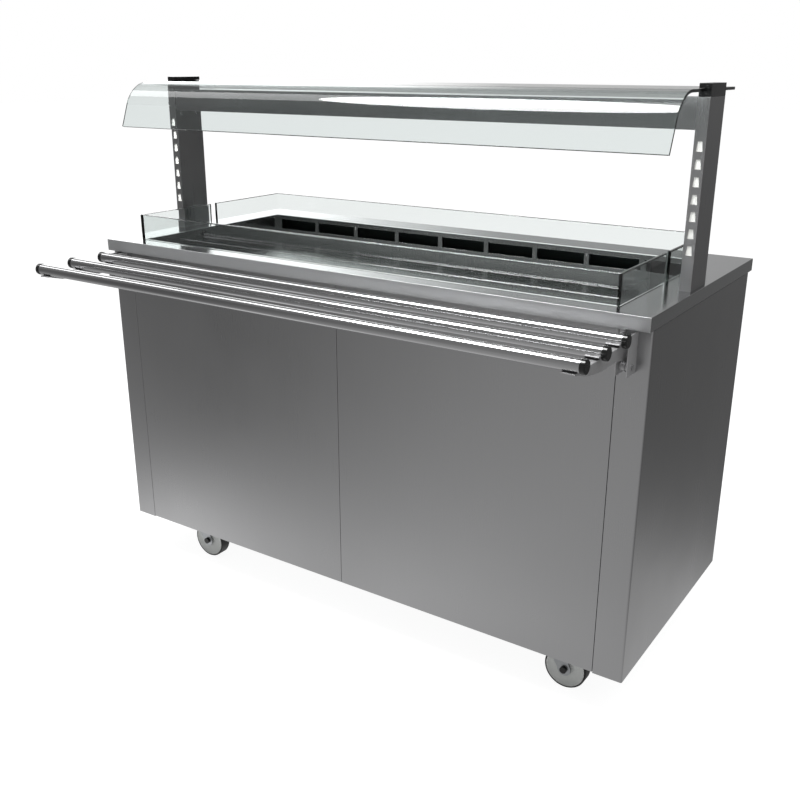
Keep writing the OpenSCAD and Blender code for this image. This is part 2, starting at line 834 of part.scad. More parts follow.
module compressor() {
  color("black") translate([machine_x, comp_y, deck_z]) {
    for (sx = [-1, 1], sy = [-1, 1])
      translate([sx * (comp_plate_w / 2 - foot_r), sy * (comp_plate_d / 2 - foot_r), 0])
        cylinder(r = foot_r, h = comp_foot);
    translate([-comp_plate_w / 2, -comp_plate_d / 2, comp_foot])
      cube([comp_plate_w, comp_plate_d, comp_plate_t]);
    translate([0, 0, comp_foot + comp_plate_t]) rotate_extrude()
      polygon([[0, 0], [comp_r * 0.85, 0], [comp_r * 0.97, comp_h * 0.08], [comp_r, comp_h * 0.18],
               [comp_r, comp_h * 0.7], [comp_r * 0.94, comp_h * 0.84], [comp_r * 0.75, comp_h * 0.94],
               [comp_r * 0.4, comp_h], [0, comp_h]]);
    translate([comp_r * 0.8, -comp_r * 0.3, comp_h * 0.35])
      cube([comp_r * 0.5, comp_r * 0.6, comp_r * 0.7]);
  }
}

cond_w = machine_w * 0.57;
cond_d = 50;
cond_h = min(bay_h * 0.82, machine_w * 0.54);
cond_fins = 18;
cond_rows = 6;
cond_y = y_frame_back - 60;
shroud_d = 60;
shroud_y = cond_y - shroud_d;
cond_motor_r = 38;
cond_motor_len = 24;

module condenser_coil() {
  color("dimgray") translate([machine_x - cond_w / 2, cond_y, deck_z])
    finned_coil(cond_w, cond_d, cond_h, cond_fins, cond_rows, 1);
}

module condenser_fan_shroud() {
  color("dimgray") translate([machine_x, shroud_y, deck_z + cond_h / 2])
    fan_housing(cond_h, shroud_d, fan_bore_share, cond_motor_r, cond_motor_len);
}

module condenser_fan_blades() {
  color("silver") translate([machine_x, shroud_y, deck_z + cond_h / 2])
    fan_rotor(cond_h, shroud_d, fan_bore_share, cond_motor_r, cond_motor_len + run_gap, 5);
}

suction_r = 5;
liquid_r = 3.5;

// A pipe along straight runs with round elbows
module pipe(route, r) {
  for (i = [0 : len(route) - 2]) {
    a = route[i];
    b = route[i + 1];
    d = b - a;
    long = norm(d);
    translate(a) rotate([0, acos(d[2] / long), atan2(d[1], d[0])]) cylinder(r = r, h = long);
    if (i > 0) translate(a) sphere(r = r);
  }
}

module refrigerant_pipes() {
  comp_top = deck_z + comp_foot + comp_plate_t + comp_h;
  x0 = coil_x - end_plate;
  row = coil_h / coil_rows;
  up = z_tub_out - 4 * pipe_hole;
  cond_x = machine_x + cond_w / 2 + end_plate;
  tail = cond_x + pipe_pitch / 2;
  color("peru") {
    pipe([[x0, coil_y + coil_d / 4, z_tub + row / 2], [pipe_x, coil_y + coil_d / 4, z_tub + row / 2],
          [pipe_x, pipe_y, z_tub + row / 2], [pipe_x, pipe_y, up],
          [machine_x, pipe_y, up], [machine_x, comp_y, up], [machine_x, comp_y, comp_top]], suction_r);
    pipe([[x0, coil_y + coil_d / 4, z_tub + row * 1.5],
          [pipe_x - pipe_pitch, coil_y + coil_d / 4, z_tub + row * 1.5],
          [pipe_x - pipe_pitch, pipe_y, z_tub + row * 1.5],
          [pipe_x - pipe_pitch, pipe_y, up - 2 * pipe_hole],
          [tail, pipe_y, up - 2 * pipe_hole], [tail, cond_y + cond_d / 2, up - 2 * pipe_hole],
          [tail, cond_y + cond_d / 2, deck_z + cond_h / 12],
          [cond_x, cond_y + cond_d / 2, deck_z + cond_h / 12]], liquid_r);
  }
}

// Gantry: posts, caps, light beam and canopy

slot_top_w = 9.4;
slot_bottom_w = 13.4;
slot_first = 82;
post_foot = 3;

module gantry_post_right() {
  inner = post_w - 2 * sheet;
  color(steel_colour) translate([x_post_in, y_post, 0]) {
    difference() {
      translate([0, 0, z_seat]) cube([post_w, post_d, post_h + seat_depth]);
      translate([sheet, sheet, top_h + post_foot]) cube([inner, post_d - 2 * sheet, post_h]);
      for (i = [0 : slot_count - 1]) post_slot(top_h + slot_first + i * slot_pitch);
    }
    for (k = [-1, 1]) translate([post_w / 2, post_d / 2 + k * stud_gap / 2, top_h - stud_len])
      cylinder(r = stud_r, h = stud_len);
  }
}

module post_slot(z) {
  translate([post_w / 2, sheet + cut, z]) rotate([90, 0, 0]) linear_extrude(sheet + 2 * cut)
    polygon([[-slot_bottom_w / 2, -slot_h / 2], [slot_bottom_w / 2, -slot_h / 2],
             [slot_top_w / 2, slot_h / 2], [-slot_top_w / 2, slot_h / 2]]);
}

module gantry_post_left() { mirror([1, 0, 0]) gantry_post_right(); }

liner_margin = 20;

module post_liners() {
  inner = post_w - 2 * sheet;
  z0 = top_h + post_foot;
  z1 = top_h + slot_first + (slot_count - 1) * slot_pitch + slot_h / 2 + liner_margin;
  color("white") both_sides()
    box([x_post_in + sheet, x_post_in + sheet + inner], [y_post + sheet, y_post + 2 * sheet],
        [z0, z1]);
}

cap_plug = 18;
cap_seat = 9.5;
cap_bite = 13;

module post_caps() {
  z_bite = z_post + cap_seat;
  x_bite = canopy_w / 2;
  color("black") both_sides() difference() {
    union() {
      translate([x_post_in, y_post, z_post]) cube([post_w, post_d, cap_h]);
      translate([x_post_in + sheet + ease, y_post + sheet + ease, z_post - cap_plug])
        cube([post_w - 2 * (sheet + ease), post_d - 2 * (sheet + ease), cap_plug]);
    }
    translate([x_post_in - cut, y_post - cut, z_bite])
      cube([x_bite - x_post_in + cut + ease, post_d + 2 * cut, canopy_t + ease]);
  }
}

// Step of the flat's faces where it runs out of the bend, and its length inside the bend
canopy_step = 0.05;
canopy_root = 2;

module canopy_profile() {
  z0 = z_post + cap_seat + canopy_t;
  bend_y = y_top + canopy_bend;
  inner_r = canopy_r - canopy_t;
  translate([bend_y, z0 - canopy_t]) square([canopy_rear - canopy_bend, canopy_t]);
  translate([bend_y, z0 - canopy_r]) {
    intersection() {
      difference() {
        circle(r = canopy_r);
        circle(r = inner_r);
      }
      polygon([[0, 0], [0, 2 * canopy_r], [-2 * canopy_r, 2 * canopy_r],
               [-2 * canopy_r * sin(canopy_turn), 2 * canopy_r * cos(canopy_turn)]]);
    }
    rotate(canopy_turn) translate([-canopy_drop, inner_r + canopy_step])
      square([canopy_drop + canopy_root, canopy_t - 2 * canopy_step]);
  }
}

module canopy_glass() {
  color(glass_colour) translate([-canopy_w / 2, 0, 0])
    rotate([90, 0, 90]) linear_extrude(canopy_w) canopy_profile();
}

beam_inset = 1.5;
beam_drop = 1;
lamp_d = 26;
lamp_end = 102.5;
lamp_len = 2 * (x_post_in - lamp_end);
holder_w = 14;
diffuser_t = 3;

module gantry_beam() {
  y0 = y_post + beam_inset;
  z1 = z_post - beam_drop;
  z0 = z1 - beam_h;
  mid_y = y0 + beam_d / 2;
  lip = 8;
  color(steel_colour) difference() {
    box([-x_post_in, x_post_in], [y0, y0 + beam_d], [z0, z1]);
    box([sheet - x_post_in, x_post_in - sheet], [y0 + sheet, y0 + beam_d - sheet],
        [z0 + sheet, z1 - sheet]);
    box([2 * sheet - x_post_in, x_post_in - 2 * sheet], [y0 + lip, y0 + beam_d - lip],
        [z0 - cut, z0 + 2 * sheet]);
  }
  color("white") both_sides()
    box([lamp_len / 2, lamp_len / 2 + holder_w], [mid_y - lamp_d / 2, mid_y + lamp_d / 2],
        [z_lamp - lamp_d / 2, z1 - sheet]);
}

z_lamp = z_post - beam_drop - beam_h / 2;

module lamp_tube() {
  mid_y = y_post + beam_inset + beam_d / 2;
  color("white") translate([-lamp_len / 2, mid_y, z_lamp]) rod_x(lamp_d / 2, lamp_len);
}

module lamp_diffuser() {
  y0 = y_post + beam_inset;
  z0 = z_post - beam_drop - beam_h + sheet;
  color("white") box([2 * sheet - x_post_in, x_post_in - 2 * sheet],
                     [y0 + sheet + ease, y0 + beam_d - sheet - ease], [z0, z0 + diffuser_t]);
}

// Glass upstand round the well

x_pane = x_well + pane_t / 2;
y_pane = y_well - pane_t / 2;
y_pane_back = y_well_back + pane_t / 2;
y_return = y_pane + front_return;

module front_pane(z) {
  box([-x_pane, x_pane], [y_pane, y_pane + pane_t], z);
  both_sides() box([x_pane - pane_t, x_pane], [y_pane, y_return], z);
}

module rear_pane(z) {
  box([-x_pane, x_pane], [y_pane_back - pane_t, y_pane_back], z);
  both_sides() box([x_pane - pane_t, x_pane], [y_return + return_gap, y_pane_back], z);
}

module front_glass() { color(glass_colour) front_pane([z_seat, top_h + pane_h]); }
module rear_glass() { color(glass_colour) rear_pane([z_seat, top_h + pane_h]); }

// Tray slide

z_tube = top_h - tray_drop;
z_arm = z_tube - tube_d / 2;
arm_t = 2;
arm_flange = 27;
arm_tip = 12;
arm_front = 4;
arm_back = 25;
arm_root = 34;
arm_heel = 12;
arm_clear = 3;
cheek_gap = 20;
cheek_t = 2;
cheek_reach = 46;
cheek_low = 74.5;
cheek_rise = 3.5;
pivot_r = 4;
pivot_boss = 8;
pivot_reach = 22;
pivot_low = 59.5;
bolt_head_r = 5;
bolt_head_h = 3;
y_pivot = y_body - pivot_reach;
z_pivot = z_tube - pivot_low;
y_cheek = y_body - cheek_reach;
y_outer = y_top - tray_gap - 2 * tray_pitch;
y_middle = y_top - tray_gap - tray_pitch;
y_inner = y_top - tray_gap;

module tray_brackets() {
  z = [z_tube - cheek_low, z_lip - cheek_rise];
  color(steel_colour) both_sides() difference() {
    union() {
      box([x_bracket - cheek_gap / 2 - cheek_t, x_bracket + cheek_gap / 2 + cheek_t],
          [y_body - cheek_t, y_body], z);
      for (s = [-1, 1])
        translate([x_bracket + s * (cheek_gap + cheek_t) / 2 - cheek_t / 2, y_cheek, z[0]])
          cube([cheek_t, cheek_reach, z[1] - z[0]]);
    }
    translate([x_bracket - cheek_gap, y_pivot, z_pivot]) rod_x(pivot_r + fit, 2 * cheek_gap);
  }
}

module tray_pivot_bolts() {
  long = cheek_gap + 2 * cheek_t;
  color(steel_colour) both_sides() translate([x_bracket, y_pivot, z_pivot]) {
    translate([-long / 2, 0, 0]) rod_x(pivot_r, long);
    translate([long / 2, 0, 0]) rod_x(bolt_head_r, bolt_head_h);
    translate([-long / 2 - bolt_head_h, 0, 0]) rod_x(bolt_head_r, bolt_head_h);
  }
}

// Outline of the arm's side plate in Y and Z
module arm_outline() {
  polygon([[y_outer - arm_tip, z_arm], [y_outer - arm_tip, z_arm - arm_t * 1.5],
           [y_outer - arm_tip + arm_t, z_arm - arm_front], [y_outer, z_arm - arm_front * 1.25],
           [y_outer + arm_tip * 2, z_arm - arm_back * 0.5],
           [y_outer + arm_tip * 4, z_arm - arm_back * 0.75],
           [y_middle - arm_tip, z_arm - arm_back * 0.92], [y_middle + arm_tip, z_arm - arm_back],
           [y_inner - arm_tip, z_arm - arm_back], [y_inner, z_arm - arm_back - arm_t],
           [y_pivot - pivot_boss * 1.5, z_arm - arm_root], [y_pivot - pivot_boss * 0.7, z_pivot - pivot_boss],
           [y_pivot, z_pivot - pivot_boss], [y_pivot, z_pivot + pivot_boss],
           [y_pivot - pivot_boss, z_arm]]);
  translate([y_pivot, z_pivot]) circle(r = pivot_boss * 1.3);
}

module tray_arms() {
  flange_back = y_cheek - arm_clear;
  color(steel_colour) both_sides() difference() {
    union() {
      translate([x_bracket, 0, 0]) rotate([90, 0, 90]) translate([0, 0, -arm_t / 2])
        linear_extrude(arm_t) arm_outline();
      box([x_bracket + arm_t / 2 - arm_flange, x_bracket + arm_t / 2],
          [y_outer - arm_tip, flange_back], [z_arm - arm_t, z_arm]);
      translate([x_bracket - cheek_gap / 2 + run_gap, y_pivot, z_pivot])
        rod_x(pivot_boss, cheek_gap - 2 * run_gap);
    }
    translate([x_bracket - cheek_gap, y_pivot, z_pivot]) rod_x(pivot_r + fit, 2 * cheek_gap);
    for (y = [y_middle, y_inner])
      translate([x_bracket - arm_flange / 2, y - arm_flange * 0.7, z_arm - 2 * arm_t])
        cylinder(r = flange_hole, h = 3 * arm_t);
  }
}

flange_hole = 4;
tube_wall = 1.5;
cap_plug_len = 20;

module tray_tubes() {
  color("silver") for (y = [y_outer, y_middle, y_inner])
    translate([-tube_len / 2, y, z_tube]) difference() {
      rod_x(tube_d / 2, tube_len);
      translate([-cut, 0, 0]) rod_x(tube_d / 2 - tube_wall, tube_len + 2 * cut);
    }
}

module tray_end_caps() {
  color("black") both_sides() for (y = [y_outer, y_middle, y_inner])
    translate([tube_len / 2, y, z_tube]) {
      rod_x(tube_cap_d / 2, tube_cap - cap_extra);
      translate([tube_cap - cap_extra, 0, 0]) rotate([0, 90, 0])
        cylinder(r1 = tube_cap_d / 2, r2 = tube_cap_d / 2 - cap_extra, h = cap_extra);
      translate([-cap_plug_len, 0, 0]) rod_x(tube_d / 2 - tube_wall - ease, cap_plug_len);
    }
}

module tray_screws() {
  color(steel_colour) both_sides() for (y = [y_outer, y_middle, y_inner])
    translate([x_bracket - arm_flange / 2, y, z_arm - arm_t]) mirror([0, 0, 1])
      screw_head(bolt_head_r, bolt_head_h);
}

// Castors: plates fixed, forks swivel, wheels spin, rear pedals rock

plate_w = 100;
plate_d = 85;
plate_t = 3;
king_r = 6;
king_len = 17;
crown_r = 28;
crown_t = 12;
leg_t = 3;
leg_gap = 2;
leg_end_r = 16;
axle_r = 6;
axle_head_r = 8;
axle_head_h = 6;
leg_y = wheel_w / 2 + leg_gap;
castor_x = x_side - castor_side;
y_castor_front = y_body + castor_end;
y_castor_rear = y_back - castor_end;

module at_castor(sx, rear) {
  translate([sx * castor_x, rear ? y_castor_rear : y_castor_front, 0]) children();
}

module castor_plates() {
  color(dark_colour) for (sx = [-1, 1], rear = [false, true]) at_castor(sx, rear) {
    translate([-plate_w / 2, -plate_d / 2, castor_h - plate_t]) cube([plate_w, plate_d, plate_t]);
    translate([0, 0, castor_h - plate_t - king_len]) cylinder(r = king_r, h = king_len);
  }
}

module castor_fork(braked) {
  z_crown = castor_h - plate_t - run_gap;
  head_y = leg_y + leg_t + (braked ? pedal_gap + pedal_t + run_gap : 0);
  color(dark_colour) {
    difference() {
      union() {
        translate([0, 0, z_crown - crown_t]) cylinder(r = crown_r, h = crown_t);
        for (s = [-1, 1]) translate([0, s * (leg_y + leg_t / 2) + leg_t / 2, 0]) fork_leg(z_crown);
        translate([-crown_r * 0.8, -leg_y - leg_t, z_crown - crown_t])
          cube([crown_r * 1.6, 2 * (leg_y + leg_t), leg_t]);
      }
      translate([0, 0, z_crown - crown_t - cut]) cylinder(r = king_r + fit, h = crown_t + 2 * cut);
    }
  }
  color("black") translate([castor_trail, 0, wheel_d / 2]) {
    translate([0, -head_y, 0]) rod_y(axle_r, 2 * head_y);
    for (s = [-1, 1]) translate([0, s > 0 ? head_y : -head_y - axle_head_h, 0])
      rod_y(axle_head_r, axle_head_h);
  }
}

module fork_leg(z_crown) {
  rotate([90, 0, 0]) linear_extrude(leg_t) {
    polygon([[-crown_r * 0.8, z_crown - crown_t + leg_t], [crown_r * 0.8, z_crown - crown_t + leg_t],
             [castor_trail + leg_end_r, wheel_d / 2], [castor_trail - leg_end_r, wheel_d / 2]]);
    translate([castor_trail, wheel_d / 2]) circle(r = leg_end_r);
  }
}

tyre_t = 5;
tyre_round = 3;
hub_dish = 3;
hub_boss = 14;

module castor_wheel() {
  r = wheel_d / 2;
  h = wheel_w / 2;
  translate([castor_trail, 0, r]) rotate([90, 0, 0]) {
    color("black") rotate_extrude() polygon([[r - tyre_t, -h + tyre_round / 2], [r - tyre_round, -h],
      [r, -h + tyre_round], [r, h - tyre_round], [r - tyre_round, h], [r - tyre_t, h - tyre_round / 2]]);
    color("gray") rotate_extrude() polygon([[axle_r + fit, -h], [hub_boss, -h], [hub_boss + hub_dish, hub_dish - h],
      [r - tyre_t - 2 * hub_dish, hub_dish - h], [r - tyre_t - hub_dish, tyre_round / 2 - h],
      [r - tyre_t, tyre_round / 2 - h], [r - tyre_t, h - tyre_round / 2],
      [r - tyre_t - hub_dish, h - tyre_round / 2], [r - tyre_t - 2 * hub_dish, h - hub_dish],
      [hub_boss + hub_dish, h - hub_dish], [hub_boss, h], [axle_r + fit, h]]);
  }
}

pedal_t = 2.5;
pedal_gap = 0.5;
pedal_r = 11;
pedal_lift = 14;
pedal_step = 22;
pedal_clear = 4;

// Two side arms on the axle, joined by a footplate behind the wheel
module brake_pedal() {
  y_in = leg_y + leg_t + pedal_gap;
  reach = wheel_d / 2 + pedal_clear;
  color("crimson") translate([castor_trail, 0, wheel_d / 2]) difference() {
    union() {
      for (s = [-1, 1]) translate([0, s > 0 ? y_in : -y_in - pedal_t, 0]) {
        rod_y(pedal_r, pedal_t);
        rotate([0, -pedal_lift, 0]) translate([0, 0, -pedal_r * 0.6])
          cube([reach + pedal_step, pedal_t, pedal_r * 1.2]);
      }
      rotate([0, -pedal_lift, 0]) translate([reach, -y_in - pedal_t / 2, pedal_r * 0.6 - pedal_t * 1.5])
        cube([pedal_step - pedal_t / 2, 2 * y_in + pedal_t, pedal_t]);
    }
    translate([0, -2 * y_in, 0]) rod_y(axle_r + fit, 4 * y_in);
  }
}

module castor_fork_front_left() { at_castor(-1, false) castor_fork(false); }
module castor_fork_front_right() { at_castor(1, false) castor_fork(false); }
module castor_fork_rear_left() { at_castor(-1, true) castor_fork(true); }
module castor_fork_rear_right() { at_castor(1, true) castor_fork(true); }
module castor_wheel_front_left() { at_castor(-1, false) castor_wheel(); }
module castor_wheel_front_right() { at_castor(1, false) castor_wheel(); }
module castor_wheel_rear_left() { at_castor(-1, true) castor_wheel(); }
module castor_wheel_rear_right() { at_castor(1, true) castor_wheel(); }
module brake_pedal_left() { at_castor(-1, true) brake_pedal(); }
module brake_pedal_right() { at_castor(1, true) brake_pedal(); }

// Visible screws that hold fixed pieces

small_r = 3.2;
small_h = 2.4;
screw_inset = 12;

module fixing_screws() {
  beam_screw_z = z_post - beam_drop - beam_h - screw_inset * 0.7;
  color(steel_colour) {
    for (i = [2, duct_cells - 2])
      translate([duct_end - x_well + i * duct_pitch, y_well_back, z_duct_open + duct_open_h - small_r])
        rotate([90, 0, 0]) screw_head(small_r, small_h);
    both_sides() for (k = [-1, 1])
      translate([x_post_in, y_post + post_d / 2 + k * stud_gap / 2, beam_screw_z])
        rotate([0, -90, 0]) screw_head(small_r, small_h);
    for (x = [machine_left + screw_inset, machine_right - screw_inset],
         z = [z_panel + screw_inset, z_control - seam - screw_inset, z_control + screw_inset,
              z_bay - screw_inset])
      translate([x, y_back, z]) rotate([-90, 0, 0]) screw_head(small_r, small_h);
    for (s = [-1, 0, 1], z = [z_tub_out + screw_inset, z_lip - screw_inset])
      translate([s * (fascia_x - screw_inset), y_back, z]) rotate([-90, 0, 0])
        screw_head(small_r, small_h);
    both_sides() for (k = [0, 1])
      translate([x_bracket, y_body - cheek_t, z_lip - screw_inset - k * 2 * screw_inset])
        rotate([90, 0, 0]) screw_head(small_r, small_h);
    for (sx = [-1, 1], rear = [false, true]) at_castor(sx, rear)
      for (kx = [-1, 1], ky = [-1, 1])
        translate([kx * (plate_w / 2 - screw_inset), ky * (plate_d / 2 - screw_inset),
                   castor_h - plate_t]) mirror([0, 0, 1]) screw_head(2 * small_r, 2 * small_h);
  }
}

chassis_frame();
base_deck();
side_panel_left();
side_panel_right();
front_panel_left();
front_panel_right();
rear_posts();
rear_fascia();
louvred_panel();
control_panel();
bulkhead();
door_hinges();
worktop();
well_tub();
tub_ledges();
well_floor();
rear_air_duct();
evaporator_coil();
evaporator_fan_frame();
drain_pipe();
compressor();
condenser_coil();
condenser_fan_shroud();
refrigerant_pipes();
controller();
mains_inlet();
gantry_post_left();
gantry_post_right();
post_liners();
gantry_beam();
lamp_tube();
lamp_diffuser();
post_caps();
canopy_glass();
front_glass();
rear_glass();
tray_brackets();
tray_pivot_bolts();
castor_plates();
fixing_screws();
tray_arms();
tray_tubes();
tray_end_caps();
tray_screws();
castor_fork_front_left();
castor_fork_front_right();
castor_fork_rear_left();
castor_fork_rear_right();
castor_wheel_front_left();
castor_wheel_front_right();
castor_wheel_rear_left();
castor_wheel_rear_right();
brake_pedal_left();
brake_pedal_right();
door_left();
door_right();
rocker_cooling();
rocker_lights();
condenser_fan_blades();
evaporator_fan_blades();
drain_lever();
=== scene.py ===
"""Looks of the mobile salad bar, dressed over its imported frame. All lengths are in metres."""

import json
import logging
import math
from dataclasses import dataclass, field
from enum import Enum
from typing import Callable

import bmesh
import bpy
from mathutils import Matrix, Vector


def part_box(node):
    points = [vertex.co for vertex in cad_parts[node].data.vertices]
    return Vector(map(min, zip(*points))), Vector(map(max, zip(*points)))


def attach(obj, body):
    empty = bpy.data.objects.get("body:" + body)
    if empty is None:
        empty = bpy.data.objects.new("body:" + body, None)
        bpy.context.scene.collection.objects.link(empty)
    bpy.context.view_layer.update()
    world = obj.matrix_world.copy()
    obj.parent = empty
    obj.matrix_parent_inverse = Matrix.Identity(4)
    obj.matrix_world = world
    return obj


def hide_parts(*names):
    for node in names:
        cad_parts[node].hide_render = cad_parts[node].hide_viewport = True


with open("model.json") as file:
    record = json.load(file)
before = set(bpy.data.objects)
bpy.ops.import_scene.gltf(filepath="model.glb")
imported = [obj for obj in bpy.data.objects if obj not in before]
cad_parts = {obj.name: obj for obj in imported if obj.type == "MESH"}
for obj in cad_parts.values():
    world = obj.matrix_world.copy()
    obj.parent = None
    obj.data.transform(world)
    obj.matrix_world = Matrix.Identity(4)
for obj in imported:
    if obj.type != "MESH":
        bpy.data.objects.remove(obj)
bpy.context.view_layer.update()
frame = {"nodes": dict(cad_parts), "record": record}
LOG = logging.getLogger("salad_bar")
MM = 0.001
FLAT_ANGLE = math.radians(0.6)  # faces closer than this lie in one plane
SHARP_ANGLE = math.radians(38)  # edges sharper than this are eased
MERGE_DIST = 2e-6  # corners closer than this are one
EDGE_ROOM = 3.0  # an edge is eased only where it is this many roundings long
SQUARE = 0.9  # share of its normal along an axis above which a face looks straight that way
LEAN = 0.5  # share above which it still leans that way
NOISE_SPAN = (0.3, 0.7)  # where nearly all values of a noise lie

Colour = tuple[float, float, float, float]
FaceTest = Callable[[bmesh.types.BMFace], bool]


def linear(code: str) -> Colour:
    """Turns an sRGB hex colour into a linear one.

    Args:
        code: Colour such as "#a0a4a8".

    Returns:
        Red, green, blue and an alpha of 1.
    """
    parts = [int(code[i : i + 2], 16) / 255 for i in (1, 3, 5)]
    red, green, blue = (c / 12.92 if c <= 0.04045 else ((c + 0.055) / 1.055) ** 2.4 for c in parts)
    return (red, green, blue, 1.0)


def add(tree: bpy.types.NodeTree, kind: str, inputs: dict | None = None, **settings: object) -> bpy.types.Node:
    """Adds a node to a tree.

    Args:
        tree: Tree that gets the node.
        kind: Type of the node.
        inputs: Socket name or number to a value, or to the socket that feeds it.
        **settings: Properties of the node.

    Returns:
        The new node.
    """
    node = tree.nodes.new(kind)
    for name, value in settings.items():
        setattr(node, name, value)
    for socket, value in (inputs or {}).items():
        if isinstance(value, bpy.types.NodeSocket):
            tree.links.new(value, node.inputs[socket])
        else:
            node.inputs[socket].default_value = value
    return node


class Grain(Enum):
    """The way in which a surface was brushed or drawn."""

    ALONG_X = 0
    ALONG_Y = 1
    ALONG_Z = 2


class LampShape(Enum):
    """Outline of a softbox."""

    STRIP = "RECTANGLE"
    ROUND = "ELLIPSE"


@dataclass(frozen=True)
class Finish:
    """What every finish shares: its name, colour and gloss."""

    name: str
    colour: str
    roughness: float

    def shade(self, tree: bpy.types.NodeTree, shader: bpy.types.Node) -> None:
        """Sets the nodes that make this finish what it is.

        Args:
            tree: The material's tree.
            shader: Its Principled shader.
        """
        raise NotImplementedError

    def material(self) -> bpy.types.Material:
        """Makes the finish's material the first time that it is asked for.

        Returns:
            The material.
        """
        found = bpy.data.materials.get(self.name)
        if found:
            return found
        made = bpy.data.materials.new(self.name)
        made.use_nodes = True
        shader = made.node_tree.nodes["Principled BSDF"]
        shader.inputs["Base Color"].default_value = linear(self.colour)
        shader.inputs["Roughness"].default_value = self.roughness
        made.diffuse_color = linear(self.colour)
        self.shade(made.node_tree, shader)
        return made

    def noise(
        self, tree: bpy.types.NodeTree, size_mm: tuple[float, float, float], detail: float
    ) -> bpy.types.NodeSocket:
        """Adds a noise whose cells have a real size.

        Args:
            tree: Tree that gets the nodes.
            size_mm: Size of a cell along X, Y and Z.
            detail: Number of finer layers in the noise.

        Returns:
            The noise's value socket.
        """
        place = add(tree, "ShaderNodeTexCoord").outputs["Object"]
        scaled = add(tree, "ShaderNodeMapping", {"Vector": place, "Scale": [1 / (s * MM) for s in size_mm]})
        layers = {"Vector": scaled.outputs[0], "Scale": 1.0, "Detail": detail, "Roughness": 0.6}
        return add(tree, "ShaderNodeTexNoise", layers).outputs[0]

    def spread(
        self, tree: bpy.types.NodeTree, value: bpy.types.NodeSocket, low: float, high: float
    ) -> bpy.types.NodeSocket:
        """Maps a noise value from its usual span to another.

        Args:
            tree: Tree that gets the node.
            value: The noise's value socket.
            low: Where the other span starts.
            high: Where it ends.

        Returns:
            The mapped value's socket.
        """
        least, most = NOISE_SPAN
        span = {"Value": value, "From Min": least, "From Max": most, "To Min": low, "To Max": high}
        return add(tree, "ShaderNodeMapRange", span).outputs[0]

    def gloss(
        self,
        tree: bpy.types.NodeTree,
        shader: bpy.types.Node,
        value: bpy.types.NodeSocket,
        below: float,
        above: float,
    ) -> None:
        """Lets the roughness vary with a noise value.

        Args:
            tree: Tree that gets the nodes.
            shader: Shader whose roughness varies.
            value: The noise's value socket.
            below: How far it goes below the finish's own roughness.
            above: How far it goes above it.
        """
        span = self.spread(tree, value, self.roughness - below, self.roughness + above)
        tree.links.new(span, shader.inputs["Roughness"])

    def bump(
        self, tree: bpy.types.NodeTree, shader: bpy.types.Node, value: bpy.types.NodeSocket, depth_mm: float
    ) -> None:
        """Raises the surface by a noise value.

        Args:
            tree: Tree that gets the node.
            shader: Shader whose normal changes.
            value: The noise's value socket.
            depth_mm: Real height between the lowest and the highest point.
        """
        node = add(tree, "ShaderNodeBump", {"Height": value, "Strength": 1.0, "Distance": depth_mm * MM})
        tree.links.new(node.outputs[0], shader.inputs["Normal"])

    def tone(
        self, tree: bpy.types.NodeTree, shader: bpy.types.Node, value: bpy.types.NodeSocket, share: float
    ) -> None:
        """Lets the colour vary with a noise value.

        Args:
            tree: Tree that gets the nodes.
            shader: Shader whose colour varies.
            value: The noise's value socket.
            share: Largest change, as a share of the colour.
        """
        base = Vector(linear(self.colour)[:3])
        # Of this node's sockets, 6 and 7 are the two colours and 2 is the mixed one.
        mix = add(tree, "ShaderNodeMix", {0: self.spread(tree, value, 0.0, 1.0)}, data_type="RGBA")
        mix.inputs[6].default_value = (*(base * (1 - share)), 1)
        mix.inputs[7].default_value = (*(base * (1 + share)), 1)
        tree.links.new(mix.outputs[2], shader.inputs["Base Color"])


@dataclass(frozen=True)
class BrushedSteel(Finish):
    """Cold rolled stainless sheet, belt brushed: fine parallel scratches blur what it reflects."""

    grain: Grain = Grain.ALONG_Z
    scratch_mm: float = 0.9  # real scratches are near 0.1 mm, drawn coarser so that they show
    run_mm: float = 130.0
    depth_mm: float = 0.0007
    contrast: float = 0.014
    sheen: float = 0.0  # share of the surface that is matt, as on glass bead blasted or satin sheet
    cloud_mm: float = 160.0
    uneven: float = 0.02  # how far the gloss varies in the streaks, and again in the clouds

    def shade(self, tree: bpy.types.NodeTree, shader: bpy.types.Node) -> None:
        """Metal with streaks along the grain and faint wide clouds from handling.

        Args:
            tree: The material's tree.
            shader: Its Principled shader.
        """
        shader.inputs["Metallic"].default_value = 1.0 - self.sheen
        size = [self.scratch_mm] * 3
        size[self.grain.value] = self.run_mm
        streaks = self.noise(tree, tuple(size), 3.0)
        clouds = self.noise(tree, (self.cloud_mm,) * 3, 2.0)
        self.tone(tree, shader, streaks, self.contrast)
        fine = self.spread(tree, streaks, -self.uneven, self.uneven)
        wide = self.spread(tree, clouds, self.roughness - self.uneven, self.roughness + self.uneven)
        both = add(tree, "ShaderNodeMath", {0: fine, 1: wide}, operation="ADD")
        tree.links.new(both.outputs[0], shader.inputs["Roughness"])
        self.bump(tree, shader, streaks, self.depth_mm)


@dataclass(frozen=True)
class PolishedSteel(Finish):
    """Drawn and polished stainless, as on tube and screw heads: almost a mirror with hairline marks."""

    run_mm: float = 90.0
    hair_mm: float = 0.8  # real hairlines are under 0.1 mm, drawn coarser so that they show

    def shade(self, tree: bpy.types.NodeTree, shader: bpy.types.Node) -> None:
        """Metal with hairlines along the tube.

        Args:
            tree: The material's tree.
            shader: Its Principled shader.
        """
        shader.inputs["Metallic"].default_value = 1.0
        lines = self.noise(tree, (self.run_mm, self.hair_mm, self.hair_mm), 2.0)
        self.tone(tree, shader, lines, 0.03)
        self.gloss(tree, shader, lines, 0.02, 0.03)


